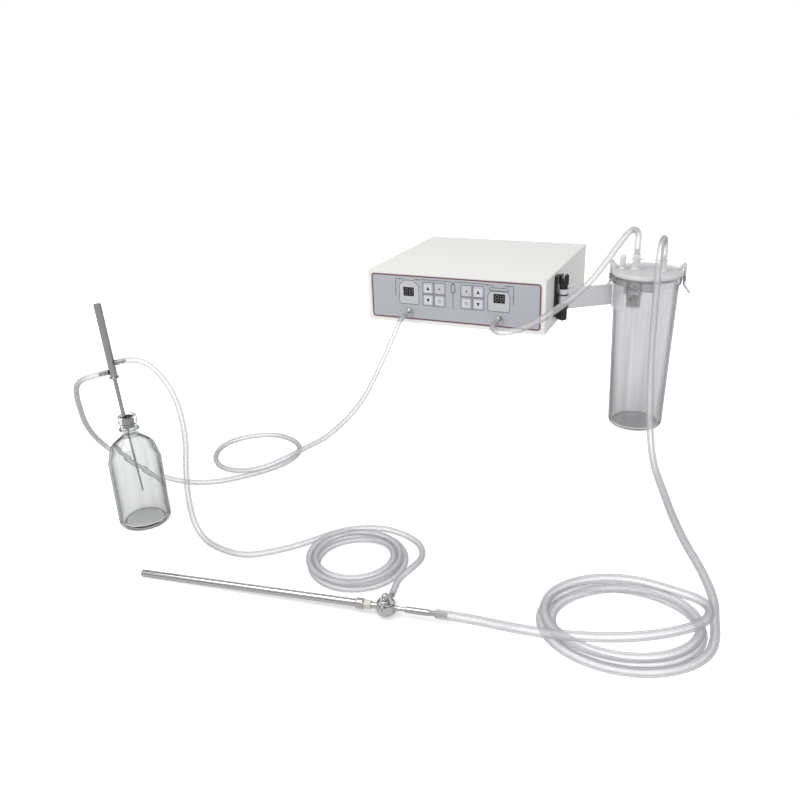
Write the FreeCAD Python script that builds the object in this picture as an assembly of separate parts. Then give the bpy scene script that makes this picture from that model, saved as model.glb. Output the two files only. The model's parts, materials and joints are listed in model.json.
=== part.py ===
import FreeCAD, Part
import math
import os

from FreeCAD import Placement, Rotation
from FreeCAD import Vector as V

# Suction and irrigation pump for keyhole surgery, in millimetres.
# Origin: centre of the console's feet plane. +Z up, front face towards -Y, +X to the right.
# The bottle, the hose coils and the handpiece lie on a surface below the console's shelf.

# Console
console_width = 350.0
console_depth = 330.0
console_height = 100.0
foot_height = 6.0
foot_radius = 9.0
foot_inset = 30.0
foot_screw_radius = 1.5
foot_recess_radius = 4.0
foot_recess_depth = 2.5
sheet = 1.5
panel_thickness = 2.0
corner_radius = 3.0
lip_height = 15.0
pan_flange_height = 11.5
sheet_gap = 0.3
vent_length = 40.0
vent_width = 3.0
vent_pitch = 8.0
vent_count = 5

# Console screws
screw_radius = 1.5
screw_head_radius = 3.0
screw_head_height = 1.2
screw_length = 6.0
screw_inset = 15.0
screw_low = 10.0
screw_high = 10.0
screw_gap = 0.1

# Front overlay, displays, keys and lights
overlay_thickness = 0.4
overlay_side_margin = 7.0
overlay_low_margin = 7.0
overlay_high_margin = 6.0
overlay_radius = 6.0
display_width = 21.8
display_height = 17.3
display_offset = 89.5
display_z = 67.5
display_setback = 0.2
key_size = 15.2
key_proud = 1.0
key_gap = 0.2
key_flange = 17.5
key_flange_thickness = 1.1
key_back_gap = 0.3
key_travel = 0.6
key_end_gap = 0.1
key_column = 49.5
key_up_z = 76.0
key_down_z = 54.0
run_key_column = 27.0
run_key_z = 53.5
light_radius = 1.5
light_z = 76.5
light_gap = 0.1
window_gap = 0.2

# Control board behind the front panel
board_half_width = 150.0
board_low = 20.0
board_high = 98.0
board_thickness = 1.6
board_depth = 10.0
board_post_radius = 3.0
board_post_inset = 10.0
board_post_rise = 12.0
board_hole_gap = 1.0
key_switch_size = 12.0

# Ports on the front panel
port_offset = 89.5
port_z = 27.5
port_flange_radius = 8.0
port_flange_thickness = 3.0
port_neck_radius = 4.5
port_neck_length = 3.6
port_nut_radius = 7.0
port_nut_thickness = 4.0
port_hole_gap = 0.1
air_barb_radius = 3.2
suction_barb_radius = 4.0
port_barb_length = 18.0
port_bore_radius = 2.0
port_tail_radius = 3.2
port_tail_length = 20.0

# Rear panel: inlet with switch, fan
inlet_inset = 65.0
inlet_width = 28.0
inlet_low = 24.0
inlet_high = 88.0
inlet_flange = 2.5
inlet_body_margin = 1.5
inlet_body_depth = 25.0
inlet_cavity_width = 24.6
inlet_cavity_height = 16.6
inlet_cavity_depth = 18.0
inlet_cavity_z = 42.0
inlet_pin_length = 12.5
inlet_pin_width = 4.0
inlet_pin_thickness = 2.0
inlet_pin_spread = 7.0
rocker_z = 71.0
rocker_half_width = 9.0
rocker_half_height = 9.4
rocker_gap = 0.4
rocker_cavity_extra = 1.0
rocker_cavity_depth = 12.0
rocker_pivot_setback = 1.0
rocker_pin_radius = 1.5
rocker_pin_gap = 0.05
rocker_tilt = 9.0
fan_size = 60.0
fan_depth = 15.0
fan_inset = 80.0
fan_z = 56.0
fan_bore_radius = 28.0
fan_hub_radius = 12.0
fan_blade_gap = 1.0
fan_blade_count = 7
fan_blade_pitch = 35.0
fan_blade_thickness = 1.2
fan_hub_plate = 3.0
fan_rotor_depth = 9.0
fan_axle_radius = 1.5
fan_axle_gap = 0.05
fan_strut_width = 4.0
fan_hole_pitch = 50.0
grille_slot_height = 4.0
grille_slot_pitch = 7.0

# Pumps on the base pan
pump_setback = 75.0
pump_head_length = 50.0
pump_head_width = 54.0
pump_head_height = 56.0
pump_mount_height = 8.0
pump_bracket_thickness = 2.0
pump_bracket_width = 60.0
pump_mount_radius = 5.0
pump_mount_inset = 8.0
motor_radius = 22.5
motor_length = 60.0
motor_wall = 2.0
motor_bearing_radius = 7.0
motor_bearing_gap = 0.05
rotor_core_radius = 17.0
rotor_core_length = 38.0
pump_shaft_radius = 3.0
crank_cavity_radius = 13.0
crank_cavity_depth = 14.0
crank_radius = 8.0
crank_length = 8.0
crank_offset = 3.0
diaphragm_radius = 22.0
diaphragm_height = 8.0
diaphragm_taper = 4.0
motor_bearing_length = 3.0
motor_bearing_floor = 1.0
saddle_inset = 5.0
core_clearance = 3.0
crank_setback = 3.0
shaft_front_gap = 2.0
shaft_rear_gap = 1.5
air_motor_length = 48.0
pump_nipple_radius = 3.2
pump_nipple_length = 8.0

# Valves, tubing and power supply
valve_block_width = 20.0
valve_block_depth = 30.0
valve_block_height = 25.0
valve_coil_radius = 8.0
valve_coil_height = 14.0
valve_x = 22.0
valve_setback = 70.0
inner_tube_radius = 4.5
inner_tube_socket = 6.0
valve_tube_diameter = 6.0
valve_tube_rise = 14.0
valve_tube_sweep = 16.0
valve_tube_run = 9.0
valve_tube_lead = 12.0
valve_tube_shift = 5.0
supply_x = 0.0
supply_inset = 75.0
supply_width = 110.0
supply_depth = 90.0
supply_post_height = 10.0
supply_post_radius = 3.0
supply_post_inset = 6.0
transformer_size = 38.0
transformer_height = 34.0
transformer_x = -26.0
transformer_y = -4.0
heat_sink_thickness = 12.0
heat_sink_length = 62.0
heat_sink_height = 40.0
heat_sink_inset = 10.0
capacitor_radius = 9.0
capacitor_height = 32.0
capacitor_x = 21.0
capacitor_pitch = 26.0
capacitor_y = -8.0
coil_radius = 12.0
coil_bore_radius = 5.0
coil_height = 10.0
coil_x = -25.0
coil_y = 30.0

# Side rail, hinge and knob
rail_width = 20.0
rail_depth = 5.0
rail_low = 24.0
rail_high = 100.0
hinge_reach = 15.0
hinge_setback = 70.0
pin_radius = 3.0
pin_gap = 0.05
pin_low = 13.0
pin_point = 5.0
pin_point_radius = 1.0
pin_in_knob = 14.0
bracket_plate = 1.5
bracket_low = 20.0
barrel_low = 18.0
barrel_high = 50.0
barrel_radius = 8.0
ear_low = 64.0
ear_high = 66.0
ear_radius = 8.5
knuckle_radius = 7.8
knuckle_gap = 0.3
knob_low = 76.0
knob_high = 102.0
knob_radius = 9.0
knob_lobe_radius = 3.2
knob_lobes = 6
knob_slot = 5.0
knob_slot_depth = 9.0
knob_neck = 8.0

# Canister arm, ring and jar
arm_low = 38.0
arm_high = 76.0
arm_thickness = 8.0
arm_direction = 37.35
arm_root_gap = 1.0
jar_reach_x = 137.0
jar_reach_y = 63.0
jar_base = -196.0
jar_base_radius = 50.0
jar_top_radius = 57.5
jar_wall = 2.5
jar_floor = 3.0
jar_base_corner = 4.0
collar_low = 84.0
collar_high = 97.5
collar_overhang = 3.5
ring_gap = 0.3
ring_wall = 3.0
ring_band_low = 48.0
ring_start_angle = 80.0
ring_band_end_angle = 150.0
ring_end_angle = 238.0
ring_notch_half_width = 6.0
ring_notch_low = 54.0

# Lid, seal, ports and float
seal_thickness = 1.5
seal_inset = 0.5
seal_width = 5.0
lid_overhang = 1.5
lid_thickness = 4.0
lid_rim_drop = 3.0
lid_rim_width = 4.5
lid_skirt_gap = 0.4
lid_skirt_wall = 3.0
lid_skirt_drop = 10.0
vacuum_port_x = -20.5
vacuum_port_y = 1.0
vacuum_port_rise = 26.0
vacuum_port_radius = 7.0
patient_port_x = 27.0
patient_port_y = -1.0
patient_port_rise = 18.0
patient_port_radius = 6.0
port_base_flare = 2.2
port_base_height = 3.0
lid_barb_radius = 4.0
lid_barb_length = 9.0
lid_bore_radius = 3.0
spigot_radius = 5.0
spigot_gap = 0.1
spigot_drop = 3.0
spare_port_x = -44.5
spare_port_radius = 4.0
spare_port_rise = 18.0
spare_cap_radius = 5.2
spare_cap_low = 6.0
spare_cap_rise = 25.0
strap_thickness = 1.2
strap_width = 4.0
strap_rise = 16.5
strap_ring_width = 2.0
cage_radius = 14.5
cage_wall = 2.0
cage_step_z = 57.0
cage_floor_z = 35.0
cage_floor = 2.0
cage_cup_radius = 13.0
cage_slot_low = 74.0
cage_slot_high = 95.0
cage_slot_width = 8.0
float_radius = 10.0
float_rest_gap = 0.1
float_travel = 12.0
float_seat_gap = 0.26
float_seat_radius = 7.0
float_seat_height = 3.0

# Lid clips, hinged on ears of the jar's collar
left_clip_direction = 172.0
right_clip_direction = 18.0
clip_width = 7.6
clip_hinge_reach = 5.3
clip_hinge_z = 90.0
clip_pin_radius = 1.5
clip_pin_gap = 0.05
clip_side_gap = 0.3
clip_ear_thickness = 2.5
clip_ear_low = 85.0
clip_ear_high = 94.0
clip_ear_reach = 7.3
clip_lever_inner = 1.0
clip_lever_thickness = 3.3
clip_hook_gap = 0.3

# Resting surface, bottle and stopper
table_z = -200.0
bottle_x = -342.4
bottle_y = -670.3
bottle_radius = 40.0
bottle_height = 183.0
bottle_wall = 3.0
bottle_floor = 4.0
bottle_shoulder_drop = 73.0
bottle_neck_drop = 32.0
shoulder_bend_radius = 34.0
shoulder_step = 18.0
bottle_neck_radius = 12.4
bottle_bead_drop = 24.0
bottle_bead_edge = 1.0
bottle_bead_height = 4.0
bottle_bead_radius = 15.0
bottle_rim_length = 12.0
bottle_rim_edge = 2.0
bottle_rim_radius = 14.5
bottle_mouth_radius = 9.3
bottle_base_corner = 4.0
stopper_gap = 0.1
stopper_length = 16.0
stopper_setback = 2.0
stopper_bore_gap = 0.1

# Spike: places along its leaning axis, from the centre of the bottle's mouth
spike_top_offset = (-11.5, -5.4, 176.5)
spike_flange_offset = (-7.0, -3.3, 61.9)
spike_mouth_offset = (-4.1, -1.9, -2.2)
spike_tip_offset = (3.4, 1.6, -129.7)
spike_outer_radius = 5.5
spike_flange_radius = 7.2
spike_flange_thickness = 2.5
spike_tube_radius = 3.0
spike_needle_radius = 1.6
spike_bore_radius = 1.0
spike_plug_length = 8.0
spike_inner_length = 60.0
spike_neck_depth = 24.0
spike_fit_gap = 0.05
spike_right_barb_offsets = ((-5.2, -2.4, 85.2), (11.4, 5.4, 89.2))
spike_left_barb_offsets = ((-10.1, -4.8, 72.0), (-26.8, -12.6, 68.5))
spike_barb_radius = 3.2
spike_barb_wall = 1.2

# Handpiece, laid out along its own axis from the valve's centre
valve_x0 = 123.8
valve_y0 = -746.5
valve_z0 = -188.0
handpiece_turn = 7.8
handpiece_tilt = 1.1
cannula_radius = 5.0
cannula_wall = 0.8
cannula_front = -365.0
cannula_rear = -31.0
cannula_shoulder = -42.0
cannula_end_radius = 4.6
cannula_hole_pitch = 8.0
cannula_hole_radius = 1.4
cannula_hole_setback = 12.0
lock_nut_front = -41.0
lock_nut_length = 10.7
lock_nut_radius = 7.0
lock_nut_gap = 0.1
lock_nut_flutes = 12
lock_nut_flute_radius = 0.7
lock_nut_flute_inset = 1.5
sleeve_length = 10.0
sleeve_across = 11.0
sleeve_gap = 0.3
stem_radius = 2.8
valve_radius = 12.5
valve_height = 14.0
valve_bore_radius = 8.0
valve_floor = 2.5
valve_fit_gap = 0.05
dome_radius = 11.5
dome_height = 5.0
dome_slit = 0.5
ball_radius = 5.0
lever_radius = 2.75
lever_length = 21.0
grip_front = 26.0
grip_rear = 58.0
grip_radius = 4.3
grip_barb_radius = 4.0
grip_barb_end = 81.0
handpiece_bore = 1.5
inlet_barb_start = 10.0
inlet_barb_end = 31.0
inlet_barb_radius = 3.2
inlet_barb_turn = 97.3

# Hoses
irrigation_hose_diameter = 9.0
suction_hose_diameter = 12.0
hose_socket_gap = 0.1
irrigation_floor = table_z + irrigation_hose_diameter / 2
suction_floor = table_z + suction_hose_diameter / 2
arc_share = 0.45

air_hose_points = [
    (-89.5, -180, 27.5), (-89.5, -201, 27), (-92, -219, 13), (-103, -231, -20), (-122, -250, -70),
    (-143, -286, -126), (-180, -350, -170), (-206, -399, -176), (-216, -440, -177), (-250, -474, -189),
    (-292, -487, irrigation_floor), (-335, -483, irrigation_floor), (-371, -450, irrigation_floor),
    (-384, -400, irrigation_floor), (-362, -356, irrigation_floor), (-315, -327, irrigation_floor),
    (-263, -338, irrigation_floor), (-228, -371, irrigation_floor), (-224, -422, irrigation_floor),
    (-253, -478, irrigation_floor), (-304, -535, irrigation_floor), (-361, -554, irrigation_floor),
    (-415, -556, -190), (-463, -562, -172), (-486, -583, -140), (-481, -613, -103), (-463, -644, -62),
    (-441, -668, -17), (-424, -684, 14), (-406, -693, 38), (-382.5, -689, 48.6), (-359.5, -678.3, 53.6),
]
irrigation_hose_points = [
    (-341, -669.6, 69.7), (-322, -660.6, 74.4), (-300, -650.5, 66), (-281, -643, 40), (-264, -642, 5),
    (-253, -648, -48), (-254, -658, -96), (-250, -668, -143), (-235, -680, -180),
    (-208, -692, irrigation_floor), (-173, -704, irrigation_floor), (-126, -707, irrigation_floor),
    (-90, -680, irrigation_floor), (-57, -643, irrigation_floor), (-36, -607, irrigation_floor),
    (-9, -589, irrigation_floor), (20, -585.5, irrigation_floor),
]
irrigation_tail_points = [
    (107, -668, -190.5), (113, -684, -189), (117.3, -703.5, -187.5), (120.8, -722.7, -187),
]
vacuum_hose_points = [
    (89.5, -180, 27.5), (89.5, -195, 27), (92, -211, 26), (102, -223, 24), (118, -226, 24),
    (146, -216, 30), (182, -194, 49), (216, -167, 74), (246, -138, 102), (269, -98, 138),
    (285, -66, 166), (295.9, -48.1, 179.6), (302.6, -37.2, 177.8), (307, -30, 168), (306, -31, 150),
    (306.5, -31, 132.3),
]
suction_hose_points = [
    (354, -33, 124.3), (354, -33, 147), (354, -49, 168), (353, -74, 169), (352, -92, 150),
    (353, -99, 120), (354, -106, 65), (357, -127, -14), (363, -151, -75), (371, -184, -128),
    (387, -238, -176), (412, -300, -190), (435, -370, suction_floor), (460, -441, suction_floor),
    (490, -507, suction_floor), (511, -569, suction_floor), (511, -630, suction_floor),
]
suction_tail_points = [
    (505, -603, -178), (508, -650, -168), (475, -687, -168), (421, -720, -168), (353, -741, -169),
    (307, -743, -173), (269, -736, -181), (228, -732.3, -186), (190, -737.4, -186.7),
]

# Coils: the turns of each lie beside and on each other
irrigation_coil_centre = (34.5, -657.0)
irrigation_coil_inner = 42.5
irrigation_coil_outer = 75.5
irrigation_coil_height = 18.0
irrigation_loop_offset = (22.0, 15.0)
irrigation_loop_radius = 71.0
suction_coil_centre = (410.5, -664.0)
suction_coil_outer = (114.0, 92.0)
suction_coil_inner = (81.0, 61.0)
suction_coil_height = 24.0
suction_coil_turn = 11.5

half_width = console_width / 2
pump_x = port_offset
inlet_x = half_width - inlet_inset
fan_x = fan_inset - half_width
front_y = -console_depth / 2
back_y = console_depth / 2
top_z = foot_height + console_height
panel_back_y = front_y + panel_thickness
pump_head_front = front_y + pump_setback
valve_y = front_y + valve_setback
supply_y = back_y - supply_inset
hinge_x = half_width + hinge_reach
hinge_y = front_y + hinge_setback
jar_x = hinge_x + jar_reach_x
jar_y = hinge_y + jar_reach_y
rear_panel_y = back_y - panel_thickness
overlay_y = front_y - overlay_thickness
pan_top = foot_height + sheet
board_y = front_y + board_depth
screw_z_low = foot_height + screw_low
screw_z_high = top_z - screw_high
screw_x = half_width - screw_inset
collar_radius = jar_top_radius + collar_overhang
seal_outer_radius = collar_radius - seal_inset
seal_inner_radius = seal_outer_radius - seal_width
lid_radius = collar_radius + lid_overhang
clip_hinge_radius = collar_radius + clip_hinge_reach
clip_ear_radius = collar_radius + clip_ear_reach
lid_low = collar_high + seal_thickness
lid_plate_low = lid_low + lid_rim_drop
lid_top = lid_plate_low + lid_thickness
bottle_mouth = (bottle_x, bottle_y, table_z + bottle_height)

X_AXIS = V(1, 0, 0)
Y_AXIS = V(0, 1, 0)
Z_AXIS = V(0, 0, 1)


def box(x0, x1, y0, y1, z0, z1):
    return Part.makeBox(x1 - x0, y1 - y0, z1 - z0, V(x0, y0, z0))


def rod(radius, start, end):
    """Cylinder of one radius from one point to another."""
    start, end = V(*start), V(*end)
    return Part.makeCylinder(radius, (end - start).Length, start, end - start)


def taper(radius_start, radius_end, start, end):
    """Cone from one point to another."""
    start, end = V(*start), V(*end)
    return Part.makeCone(radius_start, radius_end, (end - start).Length, start, end - start)


def lathe(profile, x, y, start=0.0, turn=360.0):
    """Turned piece about a vertical axis, from (radius, z) corners."""
    corners = [V(r, 0, z) for r, z in profile]
    face = Part.Face(Part.makePolygon(corners + corners[:1]))
    solid = face.revolve(V(0, 0, 0), Z_AXIS, turn)
    solid.Placement = Placement(V(x, y, 0), Rotation(Z_AXIS, start))
    return solid


def prism_x(profile, x0, x1):
    """Solid between two x planes, from (y, z) corners."""
    corners = [V(x0, y, z) for y, z in profile]
    return Part.Face(Part.makePolygon(corners + corners[:1])).extrude(V(x1 - x0, 0, 0))


def hexagon(across, start, end, turn=0.0):
    """Six-sided bar from one point to another, of a given width across its flats."""
    start, end = V(*start), V(*end)
    corner = across / 2 / math.cos(math.pi / 6)
    points = []
    for i in range(7):
        angle = math.radians(60 * i + turn)
        points.append(V(corner * math.cos(angle), corner * math.sin(angle), 0))
    bar = Part.Face(Part.makePolygon(points)).extrude(V(0, 0, (end - start).Length))
    bar.Placement = Placement(start, Rotation(Z_AXIS, end - start))
    return bar


def rounded(shape, radius, axis, keep=lambda edge: True):
    """Round the straight edges that run along one axis."""
    edges = []
    for edge in shape.Edges:
        if isinstance(edge.Curve, (Part.Line, Part.LineSegment)):
            along = edge.Vertexes[1].Point - edge.Vertexes[0].Point
            if abs(along.normalize().dot(axis)) > 0.999 and keep(edge):
                edges.append(edge)
    return shape.makeFillet(radius, edges)


def from_mouth(offset):
    """Place of a point given from the centre of the bottle's mouth."""
    return tuple(a + b for a, b in zip(bottle_mouth, offset))


def group(solids):
    return Part.makeCompound(list(solids))


def hose(name, points, diameter, sockets=()):
    """Round hose along straight runs joined by tangent arcs, with a socket for each barb."""
    points = [V(*p) for p in points]
    runs = [b - a for a, b in zip(points, points[1:])]
    edges = []
    radii = []
    place = points[0]
    for corner, before, after in zip(points[1:-1], runs, runs[1:]):
        u, w = V(before).normalize(), V(after).normalize()
        half_turn = u.getAngle(w) / 2
        tangent = arc_share * min(before.Length, after.Length)
        radius = tangent / math.tan(half_turn)
        inward = (w - u).normalize()
        arc_start = corner - u * tangent
        arc_end = corner + w * tangent
        middle = corner + inward * (radius / math.cos(half_turn) - radius)
        edges.append(Part.LineSegment(place, arc_start).toShape())
        edges.append(Part.Arc(arc_start, middle, arc_end).toShape())
        radii.append(radius)
        place = arc_end
    edges.append(Part.LineSegment(place, points[-1]).toShape())
    path = Part.Wire(edges)
    section = Part.Face(Part.Wire(Part.makeCircle(diameter / 2, points[0], runs[0])))
    solid = path.makePipe(section)
    expected = math.pi * diameter ** 2 / 4 * path.Length
    print("%s: length %.0f, radii %s, volume ratio %.4f" % (
        name, path.Length, " ".join("%.0f" % r for r in radii), solid.Volume / expected))
    for start, end, radius in sockets:
        solid = solid.cut(rod(radius + hose_socket_gap, start, end))
    return solid


def key_places():
    """Name, x and z of each key."""
    places = []
    for side, sign in (("left", -1), ("right", 1)):
        places.append(("key_%s_up" % side, sign * key_column, key_up_z))
        places.append(("key_%s_down" % side, sign * key_column, key_down_z))
        places.append(("key_%s_run" % side, sign * run_key_column, run_key_z))
    return places


def square_hole(x, z, width, height, y0, y1):
    return box(x - width / 2, x + width / 2, y0, y1, z - height / 2, z + height / 2)


def front_openings(y0, y1):
    """Cutters through the front panel and its overlay."""
    cutters = []
    for _, x, z in key_places():
        width = key_size + 2 * key_gap
        cutters.append(square_hole(x, z, width, width, y0, y1))
    for sign in (-1, 1):
        cutters.append(square_hole(sign * display_offset, display_z, display_width + 2 * window_gap,
                                   display_height + 2 * window_gap, y0, y1))
        cutters.append(rod(light_radius + light_gap, (sign * run_key_column, y0, light_z),
                           (sign * run_key_column, y1, light_z)))
        cutters.append(rod(port_neck_radius + port_hole_gap, (sign * port_offset, y0, port_z),
                           (sign * port_offset, y1, port_z)))
    return cutters


def screw_places():
    """x and z of the screws of the front and the rear panel."""
    return [(sign * screw_x, z) for sign in (-1, 1) for z in (screw_z_low, screw_z_high)]


def screw(x, z, head_y, inward):
    """Flat-headed screw along Y, its head's outer face at head_y."""
    head_end = head_y + inward * screw_head_height
    head = rod(screw_head_radius, (x, head_y, z), (x, head_end, z))
    shank = rod(screw_radius, (x, head_end, z), (x, head_end + inward * screw_length, z))
    return head.fuse(shank)


def casing_cover():
    """Sheet bent into an upside-down U, with a lip inside its front and rear edges."""
    y0, y1 = panel_back_y, rear_panel_y
    outer = box(-half_width, half_width, y0, y1, foot_height, top_z)
    outer = rounded(outer, corner_radius, Y_AXIS, lambda e: e.CenterOfMass.z > top_z - 1)
    inner_half = half_width - sheet
    inner = box(-inner_half, inner_half, y0 - 1, y1 + 1, foot_height - 1, top_z - sheet)
    inner = rounded(inner, corner_radius - sheet, Y_AXIS, lambda e: e.CenterOfMass.z > top_z - sheet - 1)
    cover = outer.cut(inner)
    lip_low = top_z - sheet - lip_height
    inset = corner_radius
    for lip_y in (y0, y1 - sheet):
        lip = box(-inner_half + inset, inner_half - inset, lip_y, lip_y + sheet, lip_low, top_z - sheet)
        cover = cover.fuse(lip)
    for x, z in screw_places():
        cover = cover.cut(rod(screw_radius + screw_gap, (x, y0 - 1, z), (x, y1 + 1, z)))
    return cover.removeSplitter()


def base_pan():
    """Tray with flanges all round, vents and the screw holes of the panels."""
    inner_half = half_width - sheet - sheet_gap
    y0, y1 = panel_back_y, rear_panel_y
    high = pan_top + pan_flange_height
    tray = box(-inner_half, inner_half, y0, y1, foot_height, high)
    hollow = box(-inner_half + sheet, inner_half - sheet, y0 + sheet, y1 - sheet, pan_top, high + 1)
    tray = tray.cut(hollow)
    cutters = []
    for x, _ in screw_places()[::2]:
        cutters.append(rod(screw_radius + screw_gap, (x, y0 - 1, screw_z_low), (x, y1 + 1, screw_z_low)))
    for sign in (-1, 1):
        for i in range(vent_count):
            x = sign * pump_x
            y = back_y - 2 * foot_inset - i * vent_pitch
            cutters.append(box(x - vent_length / 2, x + vent_length / 2, y, y + vent_width,
                               foot_height - 1, pan_top + 1))
    for x, y in foot_places():
        cutters.append(rod(foot_screw_radius + screw_gap, (x, y, foot_height - 1), (x, y, pan_top + 1)))
    for cutter in cutters:
        tray = tray.cut(cutter)
    return tray


def foot_places():
    return [(sx * (half_width - foot_inset), sy * (console_depth / 2 - foot_inset))
            for sx in (-1, 1) for sy in (-1, 1)]


def rubber_feet():
    """Four round feet, each with a recess for its screw."""
    feet = []
    for x, y in foot_places():
        foot = rod(foot_radius, (x, y, 0), (x, y, foot_height))
        foot = foot.cut(rod(foot_recess_radius, (x, y, 0), (x, y, foot_recess_depth)))
        foot = foot.cut(rod(foot_screw_radius + screw_gap, (x, y, 0), (x, y, foot_height)))
        feet.append(foot)
    return group(feet)


def case_screws():
    """Screws of the two panels, the feet and the fan."""
    screws = []
    for x, z in screw_places():
        screws.append(screw(x, z, front_y, 1))
        screws.append(screw(x, z, back_y + screw_head_height, -1))
    for x, y in foot_places():
        head = rod(screw_head_radius, (x, y, foot_recess_depth - screw_head_height), (x, y, foot_recess_depth))
        shank = rod(foot_screw_radius, (x, y, foot_recess_depth), (x, y, pan_top + 2 * sheet))
        screws.append(head.fuse(shank))
    for x, z in fan_holes():
        screws.append(screw(x, z, back_y + screw_head_height, -1))
    return group(screws)


def front_panel():
    """Flat plate with rounded corners and every cutout of the front."""
    plate = box(-half_width, half_width, front_y, panel_back_y, foot_height, top_z)
    plate = rounded(plate, corner_radius, Y_AXIS)
    for cutter in front_openings(front_y - 1, panel_back_y + 1):
        plate = plate.cut(cutter)
    for x, z in screw_places():
        plate = plate.cut(rod(screw_head_radius + screw_gap, (x, front_y - 1, z),
                              (x, front_y + screw_head_height, z)))
        plate = plate.cut(rod(screw_radius + screw_gap, (x, front_y, z), (x, panel_back_y + 1, z)))
    return plate


def front_overlay():
    """Thin membrane on the front panel."""
    x1 = half_width - overlay_side_margin
    sheet_piece = box(-x1, x1, overlay_y, front_y, foot_height + overlay_low_margin,
                      top_z - overlay_high_margin)
    sheet_piece = rounded(sheet_piece, overlay_radius, Y_AXIS)
    for cutter in front_openings(overlay_y - 1, front_y + 1):
        sheet_piece = sheet_piece.cut(cutter)
    return sheet_piece


def fan_holes():
    half = fan_hole_pitch / 2
    return [(fan_x + sx * half, fan_z + sz * half) for sx in (-1, 1) for sz in (-1, 1)]


def rear_panel():
    """Flat plate with the fan's grille and the inlet's cutout."""
    plate = box(-half_width, half_width, rear_panel_y, back_y, foot_height, top_z)
    plate = rounded(plate, corner_radius, Y_AXIS)
    y0, y1 = rear_panel_y - 1, back_y + 1
    count = int((fan_bore_radius - grille_slot_height) // grille_slot_pitch)
    for i in range(-count, count + 1):
        z = fan_z + i * grille_slot_pitch
        reach = math.sqrt(fan_bore_radius ** 2 - (abs(i) * grille_slot_pitch + grille_slot_height / 2) ** 2)
        for side in (-1, 1):
            x_in, x_out = sorted((fan_x + side * fan_strut_width / 2, fan_x + side * reach))
            plate = plate.cut(box(x_in, x_out, y0, y1, z - grille_slot_height / 2, z + grille_slot_height / 2))
    x0, x1, z0, z1 = inlet_body_limits()
    plate = plate.cut(box(x0 - screw_gap, x1 + screw_gap, y0, y1, z0 - screw_gap, z1 + screw_gap))
    for x, z in screw_places() + fan_holes():
        plate = plate.cut(rod(screw_radius + screw_gap, (x, y0, z), (x, y1, z)))
    return plate


def displays():
    """Two window blocks that stand on the control board."""
    blocks = []
    for sign in (-1, 1):
        blocks.append(square_hole(sign * display_offset, display_z, display_width, display_height,
                                  overlay_y + display_setback, board_y))
    return group(blocks)


def status_lights():
    """Two small lamps that stand on the control board."""
    return [rod(light_radius, (sign * run_key_column, overlay_y, light_z),
                (sign * run_key_column, board_y, light_z)) for sign in (-1, 1)]


def key(x, z):
    """Square cap with a flange that holds it behind the panel."""
    flange_front = panel_back_y + key_back_gap
    cap = square_hole(x, z, key_size, key_size, overlay_y - key_proud, flange_front)
    cap = rounded(cap, 1.0, Y_AXIS)
    flange = square_hole(x, z, key_flange, key_flange, flange_front, flange_front + key_flange_thickness)
    return cap.fuse(flange)


def control_board():
    """Board on four posts, with a switch body behind each key, lights and chips."""
    board = box(-board_half_width, board_half_width, board_y, board_y + board_thickness, board_low, board_high)
    solids = []
    for sx in (-1, 1):
        board = board.cut(rod(port_tail_radius + board_hole_gap, (sx * port_offset, board_y - 1, port_z),
                              (sx * port_offset, board_y + board_thickness + 1, port_z)))
        for z in (board_low + board_post_rise, board_high - board_post_rise):
            x = sx * (board_half_width - board_post_inset)
            solids.append(rod(board_post_radius, (x, panel_back_y, z), (x, board_y, z)))
    switch_front = panel_back_y + key_back_gap + key_flange_thickness + key_travel + key_end_gap
    for _, x, z in key_places():
        solids.append(square_hole(x, z, key_switch_size, key_switch_size, switch_front, board_y))
    back = board_y + board_thickness
    for x, width, height, depth in ((-60, 24, 16, 3), (0, 34, 10, 9), (45, 14, 14, 3), (110, 22, 18, 12)):
        solids.append(square_hole(x, (board_low + board_high) / 2, width, height, back, back + depth))
    return group([board] + solids + status_lights())


def console_ports():
    """Air port on the left and suction port on the right, each with its nut and inner tail."""
    ports = []
    for sign, barb_radius in ((-1, air_barb_radius), (1, suction_barb_radius)):
        x = sign * port_offset
        flange_front = overlay_y - port_flange_thickness
        neck_front = flange_front - port_neck_length
        nut_back = panel_back_y + port_nut_thickness
        body = rod(port_flange_radius, (x, flange_front, port_z), (x, overlay_y, port_z))
        body = body.fuse(rod(port_neck_radius, (x, neck_front, port_z), (x, nut_back, port_z)))
        body = body.fuse(rod(barb_radius, (x, neck_front - port_barb_length, port_z), (x, neck_front, port_z)))
        body = body.fuse(hexagon(2 * port_nut_radius, (x, panel_back_y, port_z), (x, nut_back, port_z)))
        body = body.fuse(rod(port_tail_radius, (x, nut_back, port_z), (x, nut_back + port_tail_length, port_z)))
        bore = rod(port_bore_radius, (x, neck_front - port_barb_length - 1, port_z),
                   (x, nut_back + port_tail_length + 1, port_z))
        ports.append(body.cut(bore))
    return group(ports)


def inlet_body_limits():
    half = inlet_width / 2 - inlet_body_margin
    return inlet_x - half, inlet_x + half, inlet_low + inlet_body_margin, inlet_high - inlet_body_margin


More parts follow.
